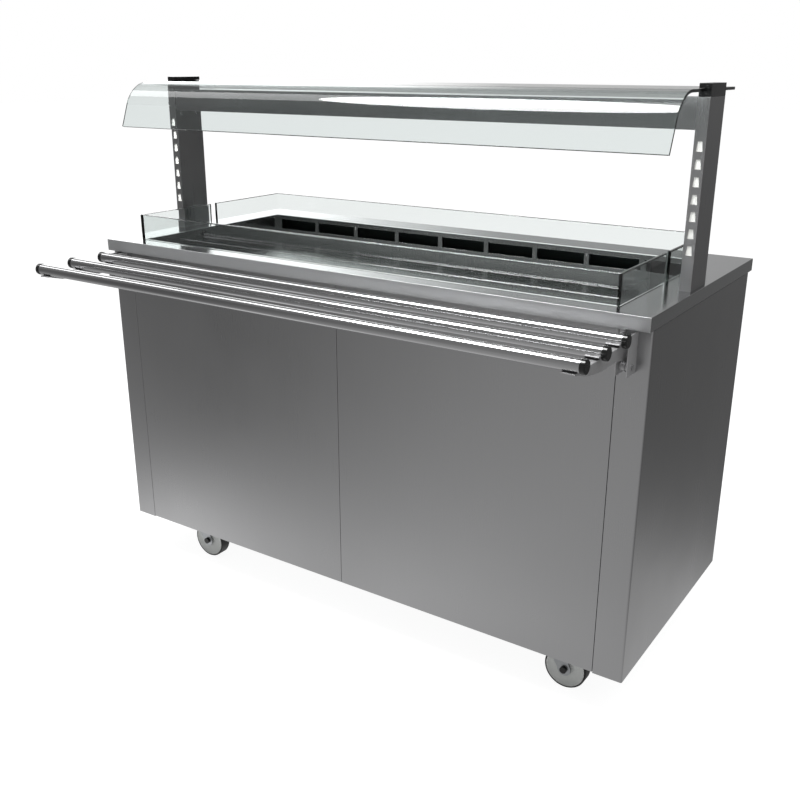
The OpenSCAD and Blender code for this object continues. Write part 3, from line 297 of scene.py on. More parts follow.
@dataclass(frozen=True)
class FloatGlass(Finish):
    """Toughened float glass: clear through its face, bottle green where one looks into its cut edge."""

    smear: float = 0.01
    wipe_mm: tuple[float, float, float] = (120.0, 60.0, 25.0)

    def shade(self, tree: bpy.types.NodeTree, shader: bpy.types.Node) -> None:
        """Clear glass with a trace of wiping marks in its gloss.

        Args:
            tree: The material's tree.
            shader: Its Principled shader.
        """
        shader.inputs["Transmission Weight"].default_value = 1.0
        shader.inputs["IOR"].default_value = 1.5
        wiped = self.noise(tree, self.wipe_mm, 3.0)
        self.gloss(tree, shader, wiped, 0.0, self.smear)


@dataclass(frozen=True)
class MouldedPlastic(Finish):
    """Injection moulded ABS: satin, with the fine grain of a spark eroded tool."""

    grain_mm: float = 0.8  # a real grain is near 0.1 mm, drawn coarser so that it shows
    cloud_mm: float = 40.0

    def shade(self, tree: bpy.types.NodeTree, shader: bpy.types.Node) -> None:
        """Fine pitted grain in gloss and relief.

        Args:
            tree: The material's tree.
            shader: Its Principled shader.
        """
        shader.inputs["IOR"].default_value = 1.5
        pits = self.noise(tree, (self.grain_mm,) * 3, 2.0)
        self.tone(tree, shader, self.noise(tree, (self.cloud_mm,) * 3, 2.0), 0.05)
        self.gloss(tree, shader, pits, 0.05, 0.08)
        self.bump(tree, shader, pits, 0.02)


@dataclass(frozen=True)
class TyreRubber(Finish):
    """Moulded rubber tread: matt black, greyer where dust sits in it."""

    dust_mm: float = 14.0
    grit_mm: float = 1.2

    def shade(self, tree: bpy.types.NodeTree, shader: bpy.types.Node) -> None:
        """Dusty patches over a matt ground.

        Args:
            tree: The material's tree.
            shader: Its Principled shader.
        """
        shader.inputs["IOR"].default_value = 1.5
        dust = self.noise(tree, (self.dust_mm,) * 3, 4.0)
        self.tone(tree, shader, dust, 0.35)
        self.gloss(tree, shader, dust, 0.1, 0.1)
        self.bump(tree, shader, self.noise(tree, (self.grit_mm,) * 3, 2.0), 0.05)


@dataclass(frozen=True)
class ZincPlate(Finish):
    """Mild steel, pressed and zinc plated: dull silver with a mottled bloom."""

    bloom_mm: float = 9.0

    def shade(self, tree: bpy.types.NodeTree, shader: bpy.types.Node) -> None:
        """Metal with a mottled bloom in colour and gloss.

        Args:
            tree: The material's tree.
            shader: Its Principled shader.
        """
        shader.inputs["Metallic"].default_value = 1.0
        bloom = self.noise(tree, (self.bloom_mm,) * 3, 3.0)
        self.tone(tree, shader, bloom, 0.08)
        self.gloss(tree, shader, bloom, 0.06, 0.08)


@dataclass(frozen=True)
class Enamel(Finish):
    """Sprayed enamel on steel: an even coat with a faint orange peel and a hard gloss."""

    coat: float = 0.6
    coat_roughness: float = 0.12
    peel_mm: float = 2.5
    cloud_mm: float = 30.0

    def shade(self, tree: bpy.types.NodeTree, shader: bpy.types.Node) -> None:
        """Clear coat over a slightly uneven ground.

        Args:
            tree: The material's tree.
            shader: Its Principled shader.
        """
        shader.inputs["Coat Weight"].default_value = self.coat
        shader.inputs["Coat Roughness"].default_value = self.coat_roughness
        peel = self.noise(tree, (self.peel_mm,) * 3, 2.0)
        self.tone(tree, shader, self.noise(tree, (self.cloud_mm,) * 3, 2.0), 0.06)
        self.bump(tree, shader, peel, 0.01)


@dataclass(frozen=True)
class DrawnMetal(Finish):
    """Mill aluminium fins or drawn copper pipe: bare metal with dull patches."""

    patch_mm: float = 18.0

    def shade(self, tree: bpy.types.NodeTree, shader: bpy.types.Node) -> None:
        """Bare metal, duller in patches.

        Args:
            tree: The material's tree.
            shader: Its Principled shader.
        """
        shader.inputs["Metallic"].default_value = 1.0
        patches = self.noise(tree, (self.patch_mm,) * 3, 3.0)
        self.tone(tree, shader, patches, 0.1)
        self.gloss(tree, shader, patches, 0.05, 0.12)


# Steel: the worktop, the well and the tubes are glossiest, the panels and posts duller, the lip and arms satin.
TOP_STEEL = BrushedSteel("brushed_stainless_worktop", "#b6b7b8", 0.17, Grain.ALONG_X, run_mm=180.0)
LIP_STEEL = BrushedSteel("satin_stainless_lip", "#a9aaab", 0.45, Grain.ALONG_X, sheen=0.2)
WELL_STEEL = BrushedSteel("brushed_stainless_well", "#a9abab", 0.18, Grain.ALONG_X)
FLOOR_STEEL = BrushedSteel(
    "bright_annealed_well_floor", "#b0b3b2", 0.2, Grain.ALONG_X, depth_mm=0.0001, contrast=0.006
)
# Painted shade: dark stainless put on the walls of the air space behind the duct and inside its openings, where
# little light reaches.
PLENUM_PAINTED_SHADE = BrushedSteel("stainless_air_plenum_painted_shade", "#262b2a", 0.5, Grain.ALONG_X)
PANEL_STEEL = BrushedSteel("brushed_stainless_panel", "#b0b0b1", 0.3, Grain.ALONG_Z)
POST_STEEL = BrushedSteel("satin_stainless_post", "#a9a9aa", 0.3, Grain.ALONG_Z)
BEAM_STEEL = BrushedSteel("satin_stainless_beam", "#a9a9aa", 0.22, Grain.ALONG_X)
ARM_STEEL = BrushedSteel("satin_stainless_bracket", "#aeaeaf", 0.4, Grain.ALONG_Y, sheen=0.35)
BOLT_STEEL = BrushedSteel("satin_stainless_bolt", "#9a9a9b", 0.4, Grain.ALONG_Y, sheen=0.3)
TUBE_STEEL = PolishedSteel("polished_stainless_tube", "#b4b4b5", 0.14)
SCREW_STEEL = PolishedSteel("bright_stainless_screw", "#c8c8ca", 0.15)
# Glass: almost no tint in a pane, a trace more in the canopy, and green in a cut edge.
FACE_GLASS = FloatGlass("toughened_float_glass_face", "#eef2f1", 0.0, smear=0.004)
CANOPY_GLASS = FloatGlass("bent_toughened_glass_canopy", "#e3e9e8", 0.0, smear=0.0005)
EDGE_GLASS = FloatGlass("toughened_float_glass_cut_edge", "#a8c4bb", 0.03, smear=0.03)
# Moulded parts: glossy caps, satin controls, pale hubs, a white drain, and white strips in the posts and beam.
CAP_PLASTIC = MouldedPlastic("black_moulded_abs_cap", "#0c0d0d", 0.16, grain_mm=1.5)
CONTROL_PLASTIC = MouldedPlastic("black_moulded_abs_control", "#16171a", 0.42, grain_mm=0.6)
HUB_PLASTIC = MouldedPlastic("pale_grey_polypropylene_hub", "#b2b4b2", 0.45)
AXLE_PLASTIC = MouldedPlastic("black_nylon_axle_cap", "#060606", 0.4)
WHITE_PLASTIC = MouldedPlastic("white_moulded_pvc", "#e4e4e0", 0.4)
DIFFUSER = MouldedPlastic("opal_acrylic_diffuser", "#f0f0ec", 0.3, grain_mm=1.5)
LAMP_GLASS = Enamel("phosphor_coated_lamp_tube", "#f2f2ec", 0.2, coat=0.8)
# Castors, chassis and the parts inside the cabinet. The drain lever is as red as the pedals.
TYRE = TyreRubber("black_rubber_tread", "#060606", 0.6)
ZINC = ZincPlate("zinc_plated_pressed_steel", "#a3a5a7", 0.34)
PEDAL_RED = Enamel("red_enamel_pedal", "#b3201c", 0.35)
BLACK_ENAMEL = Enamel("black_enamel_compressor", "#17181a", 0.3)
COIL = DrawnMetal("mill_aluminium_fins", "#c3c6c9", 0.35)
COPPER = DrawnMetal("drawn_copper_pipe", "#c27c55", 0.3)


@dataclass
class Workshop:
    """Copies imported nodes, eases their edges and hangs them on their bodies."""

    body_of: dict[str, str] = field(default_factory=dict)
    slot_of: dict[str, str] = field(default_factory=dict)

    def __post_init__(self) -> None:
        """Reads which body and material slot each node has."""
        record = frame["record"]
        for body, nodes in record["behaviour"]["bodies"].items():
            for node in nodes:
                self.body_of[node] = body
        for part in record["subparts"]:
            self.slot_of[part["node"]] = part["material_slot"]

    def merged(self, node: str) -> bmesh.types.BMesh:
        """Copies a node's mesh, joins its loose triangles and merges those that lie in one plane.

        Args:
            node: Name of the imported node.

        Returns:
            The copy, to be freed by hang().
        """
        work = bmesh.new()
        work.from_mesh(frame["nodes"][node].data)
        bmesh.ops.remove_doubles(work, verts=work.verts, dist=MERGE_DIST)
        bmesh.ops.dissolve_limit(work, angle_limit=FLAT_ANGLE, verts=work.verts, edges=work.edges)
        return work

    def ease(self, work: bmesh.types.BMesh, width: float, segments: int = 2) -> None:
        """Rounds every sharp edge that has room for it.

        Args:
            work: Mesh to change.
            width: Width of the rounding, in metres.
            segments: Number of faces across the rounding.
        """
        least = EDGE_ROOM * width
        sharp = {
            e
            for e in work.edges
            if e.is_manifold and e.is_convex and e.calc_face_angle(0.0) > SHARP_ANGLE and e.calc_length() > least
        }
        roomy = [
            e
            for e in work.edges
            if e in sharp
            and all(other in sharp or other.calc_length() > least for v in e.verts for other in v.link_edges)
        ]
        if roomy:
            bmesh.ops.bevel(
                work,
                geom=roomy,
                offset=width,
                offset_type="OFFSET",
                segments=segments,
                profile=0.5,
                affect="EDGES",
                material=-1,
                clamp_overlap=False,
            )

    def hang(
        self,
        work: bmesh.types.BMesh,
        name: str,
        nodes: list[str],
        finishes: list[Finish],
        sharp_deg: float = 50.0,
    ) -> bpy.types.Object:
        """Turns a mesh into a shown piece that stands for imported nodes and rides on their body.

        Args:
            work: Finished mesh, in the row frame. It is freed.
            name: Name of the piece.
            nodes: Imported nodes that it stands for, all on one body.
            finishes: Finishes in the order of the faces' material numbers.
            sharp_deg: Angle above which an edge stays sharp.

        Returns:
            The new piece.
        """
        for face in work.faces:
            face.smooth = True
        for edge in work.edges:
            edge.smooth = edge.is_manifold and edge.calc_face_angle(0.0) < math.radians(sharp_deg)
        mesh = bpy.data.meshes.new(name)
        work.to_mesh(mesh)
        work.free()
        for finish in finishes:
            mesh.materials.append(finish.material())
        piece = bpy.data.objects.new(name, mesh)
        bpy.context.scene.collection.objects.link(piece)
        weighted = piece.modifiers.new("weighted", "WEIGHTED_NORMAL")
        weighted.keep_sharp = True
        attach(piece, self.body_of[nodes[0]])
        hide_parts(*nodes)
        LOG.info("piece %s stands for %s", name, ", ".join(nodes))
        return piece

    def dress(
        self,
        node: str,
        finish: Finish,
        width: float = 0.5 * MM,
        segments: int = 2,
        paint: dict[Finish, FaceTest] | None = None,
    ) -> bpy.types.Object:
        """Dresses a node in its finish, with rounded edges.

        Args:
            node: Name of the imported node.
            finish: Its main finish.
            width: Width of the rounding at its edges, or 0 for none.
            segments: Number of faces across the rounding.
            paint: Other finishes, each with a test for the faces that get it.

        Returns:
            The new piece.
        """
        work = self.merged(node)
        finishes = [finish]
        for other, test in (paint or {}).items():
            finishes.append(other)
            for face in work.faces:
                if test(face):
                    face.material_index = len(finishes) - 1
        if width > 0:
            self.ease(work, width, segments)
        return self.hang(work, f"{node}_dressed", [node], finishes)

    def keep(self, node: str, finish: Finish) -> bpy.types.Object:
        """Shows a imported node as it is, in its finish.

        Args:
            node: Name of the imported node.
            finish: Its finish.

        Returns:
            The node's object.
        """
        shown = frame["nodes"][node]
        shown.data.materials.clear()
        shown.data.materials.append(finish.material())
        LOG.info("node %s kept, in %s", node, finish.name)
        return shown


@dataclass
class Cabinet:
    """Shell, chassis and inner walls of the cabinet."""

    shop: Workshop
    panel_edge: float = 0.7 * MM
    sheet_edge: float = 0.4 * MM
    bar_edge: float = 1.0 * MM
    screw_edge: float = 0.3 * MM

    def build(self) -> None:
        """Dresses the shell, the chassis and the screws."""
        for side in ("left", "right"):
            self.shop.dress(f"side_panel_{side}", PANEL_STEEL, self.panel_edge)
            self.shop.dress(f"front_panel_{side}", PANEL_STEEL, self.panel_edge)
        for node in ("rear_posts", "rear_fascia", "louvred_panel", "bulkhead"):
            self.shop.dress(node, PANEL_STEEL, self.sheet_edge)
        self.shop.dress("chassis_frame", ZINC, self.bar_edge)
        self.shop.dress("base_deck", ZINC, self.sheet_edge)
        self.shop.dress("fixing_screws", SCREW_STEEL, self.screw_edge)


@dataclass
class Well:
    """Worktop, insulated tub, floor plates and the rear air duct."""

    shop: Workshop
    lip: float = 1.2 * MM
    lip_steps: int = 3
    tub_edge: float = 0.8 * MM
    sheet_edge: float = 0.4 * MM
    duct_front: float = 12 * MM  # the painted shade of the air space starts this far behind the duct's front
    tub_rear: float = 8 * MM  # and ends this far before the tub's rear

    def front_lip(self) -> FaceTest:
        """Makes the test that finds the worktop's turned-down front lip."""
        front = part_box("worktop")[0].y + MM
        return lambda face: face.normal.y < -SQUARE and face.calc_center_median().y < front

    def plenum_shade(self) -> FaceTest:
        """Makes the test that finds the walls of the air space behind the duct, which get painted shade."""
        low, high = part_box("rear_air_duct")[0].y + self.duct_front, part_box("well_tub")[1].y - self.tub_rear
        return lambda face: low < face.calc_center_median().y < high and face.normal.z < LEAN

    def duct_inside_shade(self, face: bmesh.types.BMFace) -> bool:
        """Tells whether a face of the duct looks into its openings, where shade is painted."""
        return face.normal.y > -LEAN and face.normal.z < LEAN

    def build(self) -> None:
        """Dresses the worktop and everything that shows inside the well."""
        self.shop.dress("worktop", TOP_STEEL, self.lip, self.lip_steps, {LIP_STEEL: self.front_lip()})
        # The air space behind the duct and the inside of the duct's openings get painted shade.
        self.shop.dress("well_tub", WELL_STEEL, self.tub_edge, 2, {PLENUM_PAINTED_SHADE: self.plenum_shade()})
        self.shop.dress("tub_ledges", WELL_STEEL, self.sheet_edge)
        self.shop.dress("well_floor", FLOOR_STEEL, self.sheet_edge)
        self.shop.dress("rear_air_duct", WELL_STEEL, self.sheet_edge, 2, {PLENUM_PAINTED_SHADE: self.duct_inside_shade})


@dataclass
class Upstand:
    """Low glass panes round the well."""

    shop: Workshop
    polish: float = 2.6 * MM
    steps: int = 4
    narrow: float = 8.6 * MM  # a face narrower than this is a cut edge

    def cut_edge(self, face: bmesh.types.BMFace) -> bool:
        """Tells whether a face is the narrow cut edge of a pane."""
        spans = sorted(max(v.co[i] for v in face.verts) - min(v.co[i] for v in face.verts) for i in range(3))
        return spans[1] < self.narrow or abs(face.normal.z) > SQUARE

    def build(self) -> None:
        """Dresses both groups of panes, each with its green edge."""
        for node in ("front_glass", "rear_glass"):
            pane = self.shop.dress(node, FACE_GLASS, self.polish, self.steps, {EDGE_GLASS: self.cut_edge})
            pane.visible_shadow = False


@dataclass
class Gantry:
    """Two slotted posts, the light beam between them and the canopy glass."""

    shop: Workshop
    edge: float = 0.6 * MM
    glass_edge: float = 0.7 * MM
    liner_edge: float = 0.3 * MM
    lamp_edge: float = 0.5 * MM

    def canopy_edge(self, face: bmesh.types.BMFace) -> bool:
        """Tells whether a face is one of the canopy's two cut ends."""
        return abs(face.normal.x) > SQUARE

    def build(self) -> None:
        """Dresses the posts, the beam, the lamp and the glass."""
        for side in ("left", "right"):
            self.shop.dress(f"gantry_post_{side}", POST_STEEL, self.edge)
        self.shop.dress("post_liners", DIFFUSER, self.liner_edge)
        self.shop.dress("post_caps", CAP_PLASTIC, self.edge)
        self.shop.dress("gantry_beam", BEAM_STEEL, self.edge)
        self.shop.dress("lamp_tube", LAMP_GLASS, self.lamp_edge)
        self.shop.dress("lamp_diffuser", DIFFUSER, self.lamp_edge)
        ends = {EDGE_GLASS: self.canopy_edge}
        canopy = self.shop.dress("canopy_glass", CANOPY_GLASS, self.glass_edge, 2, ends)
        canopy.visible_shadow = False


@dataclass
class TraySlide:
    """Fold-down tray slide of three tubes on two arms."""

    shop: Workshop
    tube_edge: float = 0.3 * MM
    edge: float = 0.4 * MM

    def build(self) -> None:
        """Dresses the tubes, their caps, the arms and the hinges."""
        self.shop.dress("tray_tubes", TUBE_STEEL, self.tube_edge)
        self.shop.dress("tray_end_caps", CAP_PLASTIC, self.edge)
        self.shop.dress("tray_arms", ARM_STEEL, self.edge)
        self.shop.dress("tray_brackets", ARM_STEEL, self.edge)
        self.shop.dress("tray_pivot_bolts", BOLT_STEEL, self.edge)
        self.shop.dress("tray_screws", BOLT_STEEL, self.edge)


@dataclass
class Castors:
    """Four swivel castors, the rear two with brake pedals."""

    shop: Workshop
    wheel_r: float = 50.0 * MM
    half_w: float = 16.0 * MM
    tread: float = 4.0 * MM
    shoulder: float = 3.0 * MM
    axle_r: float = 6.1 * MM
    boss_r: float = 17.0 * MM
    boss_slope: float = 3.0 * MM
    dish: float = 2.5 * MM
    rim_wide: float = 8.0 * MM
    rim_narrow: float = 5.0 * MM
    inset: float = 0.4  # share of the shoulder by which the rim stands back
    crown: float = 0.35  # share of the shoulder that its rounding takes off the corner
    head_r: float = 9.0 * MM
    leg_out: float = 5.5 * MM
    edge: float = 0.5 * MM
    facets: int = 72
    crease_deg: float = 40.0

    def lathe(self, profile: list[tuple[float, float]], centre: Vector) -> bmesh.types.BMesh:
        """Turns a closed profile of (radius, offset) points round the wheel's axis.

        Args:
            profile: Points of the profile, in order.
            centre: Middle of the wheel.

        Returns:
            The turned mesh, with its faces outwards.
        """
        work = bmesh.new()
        points = [work.verts.new((r, y, 0)) for r, y in profile]
        rim = [work.edges.new((a, b)) for a, b in zip(points, points[1:] + points[:1])]
        bmesh.ops.spin(
            work,
            geom=points + rim,
            axis=(0, 1, 0),
            cent=(0, 0, 0),
            angle=math.tau,
            steps=self.facets,
            use_merge=True,
        )
        bmesh.ops.remove_doubles(work, verts=work.verts, dist=MERGE_DIST)
        bmesh.ops.recalc_face_normals(work, faces=work.faces)
        bmesh.ops.translate(work, vec=centre, verts=work.verts)
        return work

    def wheel(self, place: str) -> None:
        """Makes one wheel: a rubber tread on a pale hub.

        Args:
            place: Corner of the cabinet, such as front_left.
        """
        node = f"castor_wheel_{place}"
        low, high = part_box(node)
        centre = (low + high) / 2
        r, h, t, s = self.wheel_r, self.half_w, self.tread, self.shoulder
        step, cut = self.inset * s, self.crown * s
        tyre = [
            (r - t, -h + step), (r - s, -h), (r - cut, -h + cut), (r, -h + s),
            (r, h - s), (r - cut, h - cut), (r - s, h), (r - t, h - step),
        ]
        foot, rim_in, rim_out = self.boss_r - self.boss_slope, r - t - self.rim_wide, r - t - self.rim_narrow
        hub = [
            (self.axle_r, -h), (foot, -h), (self.boss_r, self.dish - h), (rim_in, self.dish - h),
            (rim_out, step - h), (r - t, step - h), (r - t, h - step), (rim_out, h - step),
            (rim_in, h - self.dish), (self.boss_r, h - self.dish), (foot, h), (self.axle_r, h),
        ]
        self.shop.hang(self.lathe(tyre, centre), f"tyre_{place}", [node], [TYRE], self.crease_deg)
        self.shop.hang(self.lathe(hub, centre), f"hub_{place}", [node], [HUB_PLASTIC], self.crease_deg)

    def axle_head(self, place: str) -> FaceTest:
        """Makes the test that finds the faces of one axle's heads.

        Args:
            place: Corner of the cabinet, such as front_left.

        Returns:
            The test.
        """
        low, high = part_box(f"castor_wheel_{place}")
        middle = (low + high) / 2

        def test(face: bmesh.types.BMFace) -> bool:
            """Tells whether a face is close to the axle's line and outside the fork's legs."""
            off = face.calc_center_median() - middle
            return math.hypot(off.x, off.z) < self.head_r and abs(off.y) > self.half_w + self.leg_out

        return test

    def build(self) -> None:
        """Dresses plates, forks, wheels and pedals."""
        self.shop.dress("castor_plates", ZINC, self.edge)
        for end in ("front", "rear"):
            for side in ("left", "right"):
                place = f"{end}_{side}"
                heads = {AXLE_PLASTIC: self.axle_head(place)}
                self.shop.dress(f"castor_fork_{place}", ZINC, self.edge, 2, heads)
                self.wheel(place)
        for side in ("left", "right"):
            self.shop.dress(f"brake_pedal_{side}", PEDAL_RED, self.edge)


@dataclass
class ServiceSide:
    """Doors, controls and drain that the staff use."""

    shop: Workshop
    edge: float = 0.4 * MM
    hinge_edge: float = 0.3 * MM
    drain_edge: float = 0.5 * MM

    def build(self) -> None:
        """Dresses the doors, the control panel and the drain."""
        for side in ("left", "right"):
            self.shop.dress(f"door_{side}", PANEL_STEEL, self.edge)
        self.shop.dress("door_hinges", SCREW_STEEL, self.hinge_edge)
        self.shop.dress("control_panel", PANEL_STEEL, self.edge)
        for node in ("controller", "mains_inlet", "rocker_cooling", "rocker_lights"):
            self.shop.dress(node, CONTROL_PLASTIC, self.edge)
        self.shop.dress("drain_pipe", WHITE_PLASTIC, self.drain_edge)
        self.shop.dress("drain_lever", PEDAL_RED, self.edge)


@dataclass
class CoolingUnit:
    """Compressor, coils and fans, inside the cabinet and under the well."""

    shop: Workshop
    frame_edge: float = 0.5 * MM
    shroud_edge: float = 0.8 * MM
    shell_edge: float = 1.0 * MM

    def build(self) -> None:
        """Dresses the cooling parts, which stand behind the louvres and under the floor plates."""
        self.shop.keep("evaporator_coil", COIL)
        self.shop.keep("condenser_coil", COIL)
        self.shop.dress("evaporator_fan_frame", CONTROL_PLASTIC, self.frame_edge)
        self.shop.keep("evaporator_fan_blades", CONTROL_PLASTIC)
        self.shop.dress("condenser_fan_shroud", CONTROL_PLASTIC, self.shroud_edge)
        self.shop.keep("condenser_fan_blades", COIL)
        self.shop.dress("compressor", BLACK_ENAMEL, self.shell_edge)
        self.shop.keep("refrigerant_pipes", COPPER)


@dataclass(frozen=True)
class Softbox:
    """An area lamp: its middle, the point that it faces, its width and height, its power and its outline."""

    name: str
    place: tuple[float, float, float]
    target: tuple[float, float, float]
    size: tuple[float, float]
    watts: float
    shape: LampShape


@dataclass
class Studio:
    """White studio: camera, floor, world and lamps."""

    eye: tuple[float, float, float] = (1.29311, -1.86760, 1.33172)
    turn_deg: tuple[float, float, float] = (70.6607, -0.0932, 33.8959)
    lens: float = 43.042
    sensor: float = 36.0
    floor_size: float = 30.0
    # Brightness that polished metal sees round the horizon, by azimuth in degrees; -90 is the front.
    horizon: tuple[tuple[float, float], ...] = (
        (-180, 0.4), (-165, 0.42), (-150, 0.27), (-146, 0.2), (-138, 0.14), (-124, 0.27), (-107, 0.43),
        (-80, 0.46), (-50, 0.38), (0, 0.14), (44, 0.1), (72, 0.15), (100, 0.42), (110, 0.5), (118, 0.55),
        (125, 1.2), (130, 2.2), (150, 2.2), (160, 0.6), (180, 0.4),
    )
    # What the lit floor beside the object adds to that, by azimuth too.
    glow: tuple[tuple[float, float], ...] = (
        (-180, 0.25), (-165, 0.55), (-155, 0.7), (-140, 0.7), (-110, 0.3), (-30, 0.3), (0, 0.42), (90, 0.42),
        (180, 0.25),
    )
    glow_reach: float = 0.4
    floor_most: float = 0.46
    half_box: tuple[float, float] = (0.735, 0.34)
    brightest: float = 2.2
    # Heights, as the upward share of a direction, between which the walls give way to a dim sky.
    sky_from: float = 0.3
    sky_to: float = 0.6
    sky_level: float = 0.3
    bounce_level: float = 0.55
    floor_white: float = 0.92
    floor_shade: float = 0.22
    floor_matt: float = 0.8
    one_bounce: float = 0.5  # between the glossy depths of 0 and 1
    softboxes: tuple[Softbox, ...] = (
        Softbox("long_strip_light", (-0.6, -0.45, 3.3), (-0.6, -0.3, 0.9), (8.0, 0.9), 75.0, LampShape.STRIP),
        Softbox("round_softbox", (-0.75, -0.65, 3.2), (-0.75, -0.3, 0.9), (1.9, 1.35), 120.0, LampShape.ROUND),
    )

    def direct(self, tree: bpy.types.NodeTree) -> bpy.types.NodeSocket:
        """Finds what the camera sees straight or through glass, and not in metal.

        Args:
            tree: Tree that gets the nodes.

        Returns:
            A socket that is 1 there and 0 elsewhere.
        """
        path = add(tree, "ShaderNodeLightPath").outputs
        rays = {0: path["Is Camera Ray"], 1: path["Is Transmission Ray"]}
        seen = add(tree, "ShaderNodeMath", rays, operation="MAXIMUM").outputs[0]
        depth = {0: path["Glossy Depth"], 1: self.one_bounce}
        clear = add(tree, "ShaderNodeMath", depth, operation="LESS_THAN").outputs[0]
        return add(tree, "ShaderNodeMath", {0: seen, 1: clear}, operation="MULTIPLY").outputs[0]

    def around(
        self, tree: bpy.types.NodeTree, place: bpy.types.NodeSocket, table: tuple[tuple[float, float], ...]
    ) -> bpy.types.NodeSocket:
        """Looks up a table of levels by azimuth.

        Args:
            tree: Tree that gets the nodes.
            place: Direction or point whose azimuth counts.
            table: Azimuths in degrees, from -180 to 180, and the level at each.

        Returns:
            The level as a colour socket, as a share of the brightest level.
        """
        axes = add(tree, "ShaderNodeSeparateXYZ", {0: place}).outputs
        azimuth = add(tree, "ShaderNodeMath", {0: axes[1], 1: axes[0]}, operation="ARCTAN2").outputs[0]
        turn = add(tree, "ShaderNodeMapRange", {0: azimuth, 1: -math.pi, 2: math.pi, 3: 0.0, 4: 1.0}).outputs[0]
        ramp = add(tree, "ShaderNodeValToRGB", {0: turn})
        stops = ramp.color_ramp.elements
        stops.remove(stops[-1])
        for number, (angle, level) in enumerate(table):
            spot = (angle + 180) / 360
            stop = stops[0] if number == 0 else stops.new(spot)
            stop.position = spot
            share = level / self.brightest
            stop.color = (share, share, share, 1)
        return ramp.outputs[0]

    def camera(self) -> None:
        """Places the camera at the photograph's point of view."""
        data = bpy.data.cameras.new("camera")
        data.lens = self.lens
        data.sensor_width = self.sensor
        eye = bpy.data.objects.new("camera", data)
        eye.location = self.eye
        eye.rotation_euler = [math.radians(a) for a in self.turn_deg]
        bpy.context.scene.collection.objects.link(eye)
        bpy.context.scene.camera = eye

    def world(self) -> None:
        """White to the camera and through glass; a dim room with bright walls to metal."""
        world = bpy.data.worlds.new("studio")
        bpy.context.scene.world = world
        world.use_nodes = True
        tree = world.node_tree
        tree.nodes.clear()
        towards = add(tree, "ShaderNodeTexCoord").outputs["Generated"]
        axes = add(tree, "ShaderNodeSeparateXYZ", {0: towards}).outputs
        ramp = self.around(tree, towards, self.horizon)
        span = {0: axes[2], 1: self.sky_from, 2: self.sky_to, 3: 0.0, 4: 1.0}
        height = add(tree, "ShaderNodeMapRange", span, interpolation_type="SMOOTHSTEP").outputs[0]
        # Of this node's sockets, 6 and 7 are the two colours and 2 is the mixed one.
        level = add(tree, "ShaderNodeMix", {0: height, 6: ramp}, data_type="RGBA")
        level.inputs[7].default_value = (self.sky_level / self.brightest,) * 3 + (1,)
        room = add(tree, "ShaderNodeBackground", {"Color": level.outputs[2], "Strength": self.brightest})
        soft = add(tree, "ShaderNodeBackground", {"Color": (1, 1, 1, 1), "Strength": self.bounce_level})
        white = add(tree, "ShaderNodeBackground", {"Color": (1, 1, 1, 1), "Strength": 1.0})
        path = add(tree, "ShaderNodeLightPath").outputs
        rooms = {0: path["Is Diffuse Ray"], 1: room.outputs[0], 2: soft.outputs[0]}
        lit = add(tree, "ShaderNodeMixShader", rooms)
        last = add(tree, "ShaderNodeMixShader", {0: self.direct(tree), 1: lit.outputs[0], 2: white.outputs[0]})
        add(tree, "ShaderNodeOutputWorld", {0: last.outputs[0]})

    def floor(self) -> None:
        """White floor that keeps the object's soft shadow and fades in metal with its distance."""
        work = bmesh.new()
        bmesh.ops.create_grid(work, x_segments=1, y_segments=1, size=self.floor_size)
        mesh = bpy.data.meshes.new("floor")
        work.to_mesh(mesh)
        work.free()
        floor = bpy.data.objects.new("floor", mesh)
        bpy.context.scene.collection.objects.link(floor)
        paint = bpy.data.materials.new("white_studio_floor")
        paint.use_nodes = True
        tree = paint.node_tree
        tree.nodes.clear()
        place = add(tree, "ShaderNodeTexCoord").outputs["Object"]
        reach = add(tree, "ShaderNodeVectorMath", {0: place}, operation="ABSOLUTE").outputs[0]
        half = (*self.half_box, 0)
        past = add(tree, "ShaderNodeVectorMath", {0: reach, 1: half}, operation="SUBTRACT").outputs[0]
        beside = add(tree, "ShaderNodeVectorMath", {0: past, 1: (0, 0, 0)}, operation="MAXIMUM").outputs[0]
        far = add(tree, "ShaderNodeVectorMath", {0: beside}, operation="LENGTH").outputs["Value"]
        ratio = add(tree, "ShaderNodeMath", {0: far, 1: self.glow_reach}, operation="DIVIDE").outputs[0]
        square = add(tree, "ShaderNodeMath", {0: ratio, 1: 2.0}, operation="POWER").outputs[0]
        below = add(tree, "ShaderNodeMath", {0: square, 1: 1.0}, operation="ADD").outputs[0]
        glow = self.around(tree, place, self.glow)
        near = add(tree, "ShaderNodeVectorMath", {0: glow, 1: below}, operation="DIVIDE").outputs[0]
        wall = self.around(tree, place, self.horizon)
        most = (self.floor_most / self.brightest,) * 3
        ground = add(tree, "ShaderNodeVectorMath", {0: wall, 1: most}, operation="MINIMUM").outputs[0]
        level = add(tree, "ShaderNodeVectorMath", {0: ground, 1: near}, operation="ADD").outputs[0]
        matt = add(tree, "ShaderNodeBsdfDiffuse", {"Color": (self.floor_matt,) * 3 + (1,)})
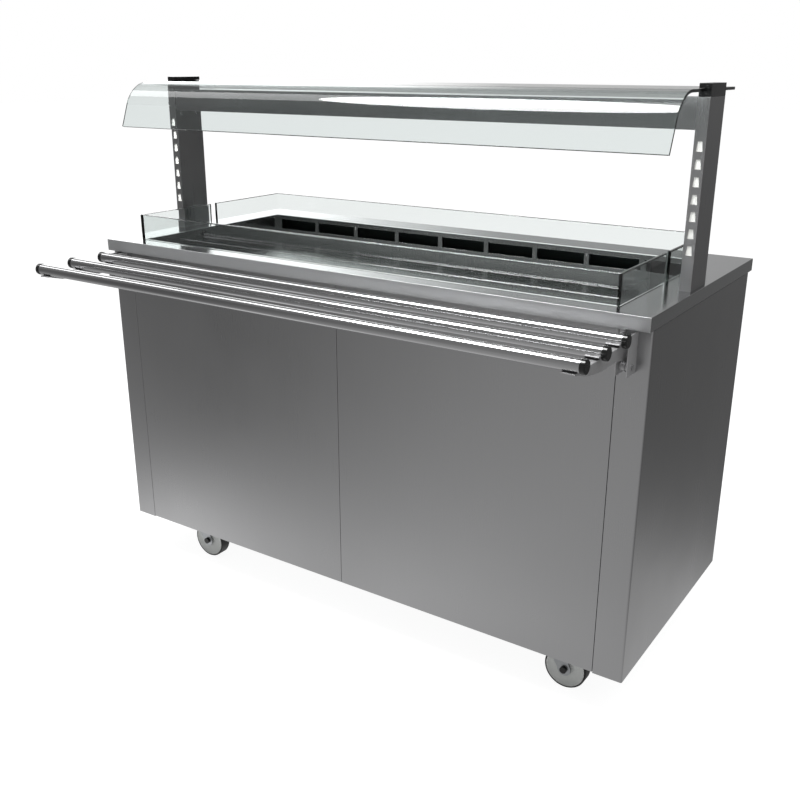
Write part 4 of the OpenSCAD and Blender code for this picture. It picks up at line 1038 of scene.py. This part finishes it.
        faint = add(tree, "ShaderNodeBsdfDiffuse", {"Color": (self.floor_shade,) * 3 + (1,)})
        white = add(tree, "ShaderNodeEmission", {"Strength": self.floor_white})
        mirrored = add(tree, "ShaderNodeEmission", {"Color": level, "Strength": self.brightest})
        path = add(tree, "ShaderNodeLightPath").outputs
        depth = {0: path["Glossy Depth"], 1: self.one_bounce}
        polished = add(tree, "ShaderNodeMath", depth, operation="GREATER_THAN").outputs[0]
        plain = add(tree, "ShaderNodeAddShader", {0: faint.outputs[0], 1: white.outputs[0]})
        other = add(tree, "ShaderNodeMixShader", {0: polished, 1: matt.outputs[0], 2: mirrored.outputs[0]})
        views = {0: self.direct(tree), 1: other.outputs[0], 2: plain.outputs[0]}
        last = add(tree, "ShaderNodeMixShader", views)
        add(tree, "ShaderNodeOutputMaterial", {0: last.outputs[0]})
        mesh.materials.append(paint)

    def lamp(self, box: Softbox) -> None:
        """Adds a softbox that the camera doesn't see, straight or through glass.

        Args:
            box: The softbox.
        """
        data = bpy.data.lights.new(box.name, "AREA")
        data.shape = box.shape.value
        data.size, data.size_y = box.size
        data.energy = box.watts
        lamp = bpy.data.objects.new(box.name, data)
        lamp.location = box.place
        lamp.rotation_euler = (Vector(box.target) - Vector(box.place)).to_track_quat("-Z", "Y").to_euler()
        lamp.visible_camera = False
        lamp.visible_transmission = False
        bpy.context.scene.collection.objects.link(lamp)

    def build(self) -> None:
        """Sets up the whole studio."""
        view = bpy.context.scene.view_settings
        view.view_transform = "Standard"
        self.camera()
        self.world()
        self.floor()
        for box in self.softboxes:
            self.lamp(box)


def main() -> None:
    """Builds the sub-assemblies in order, then the studio."""
    logging.basicConfig(level=logging.INFO, format="%(message)s")
    shop = Workshop()
    for part in (
        Cabinet(shop),
        Well(shop),
        Upstand(shop),
        Gantry(shop),
        TraySlide(shop),
        Castors(shop),
        ServiceSide(shop),
        CoolingUnit(shop),
    ):
        part.build()
        LOG.info("%s done", type(part).__name__)
    Studio().build()


if __name__ == "__main__":
    main()
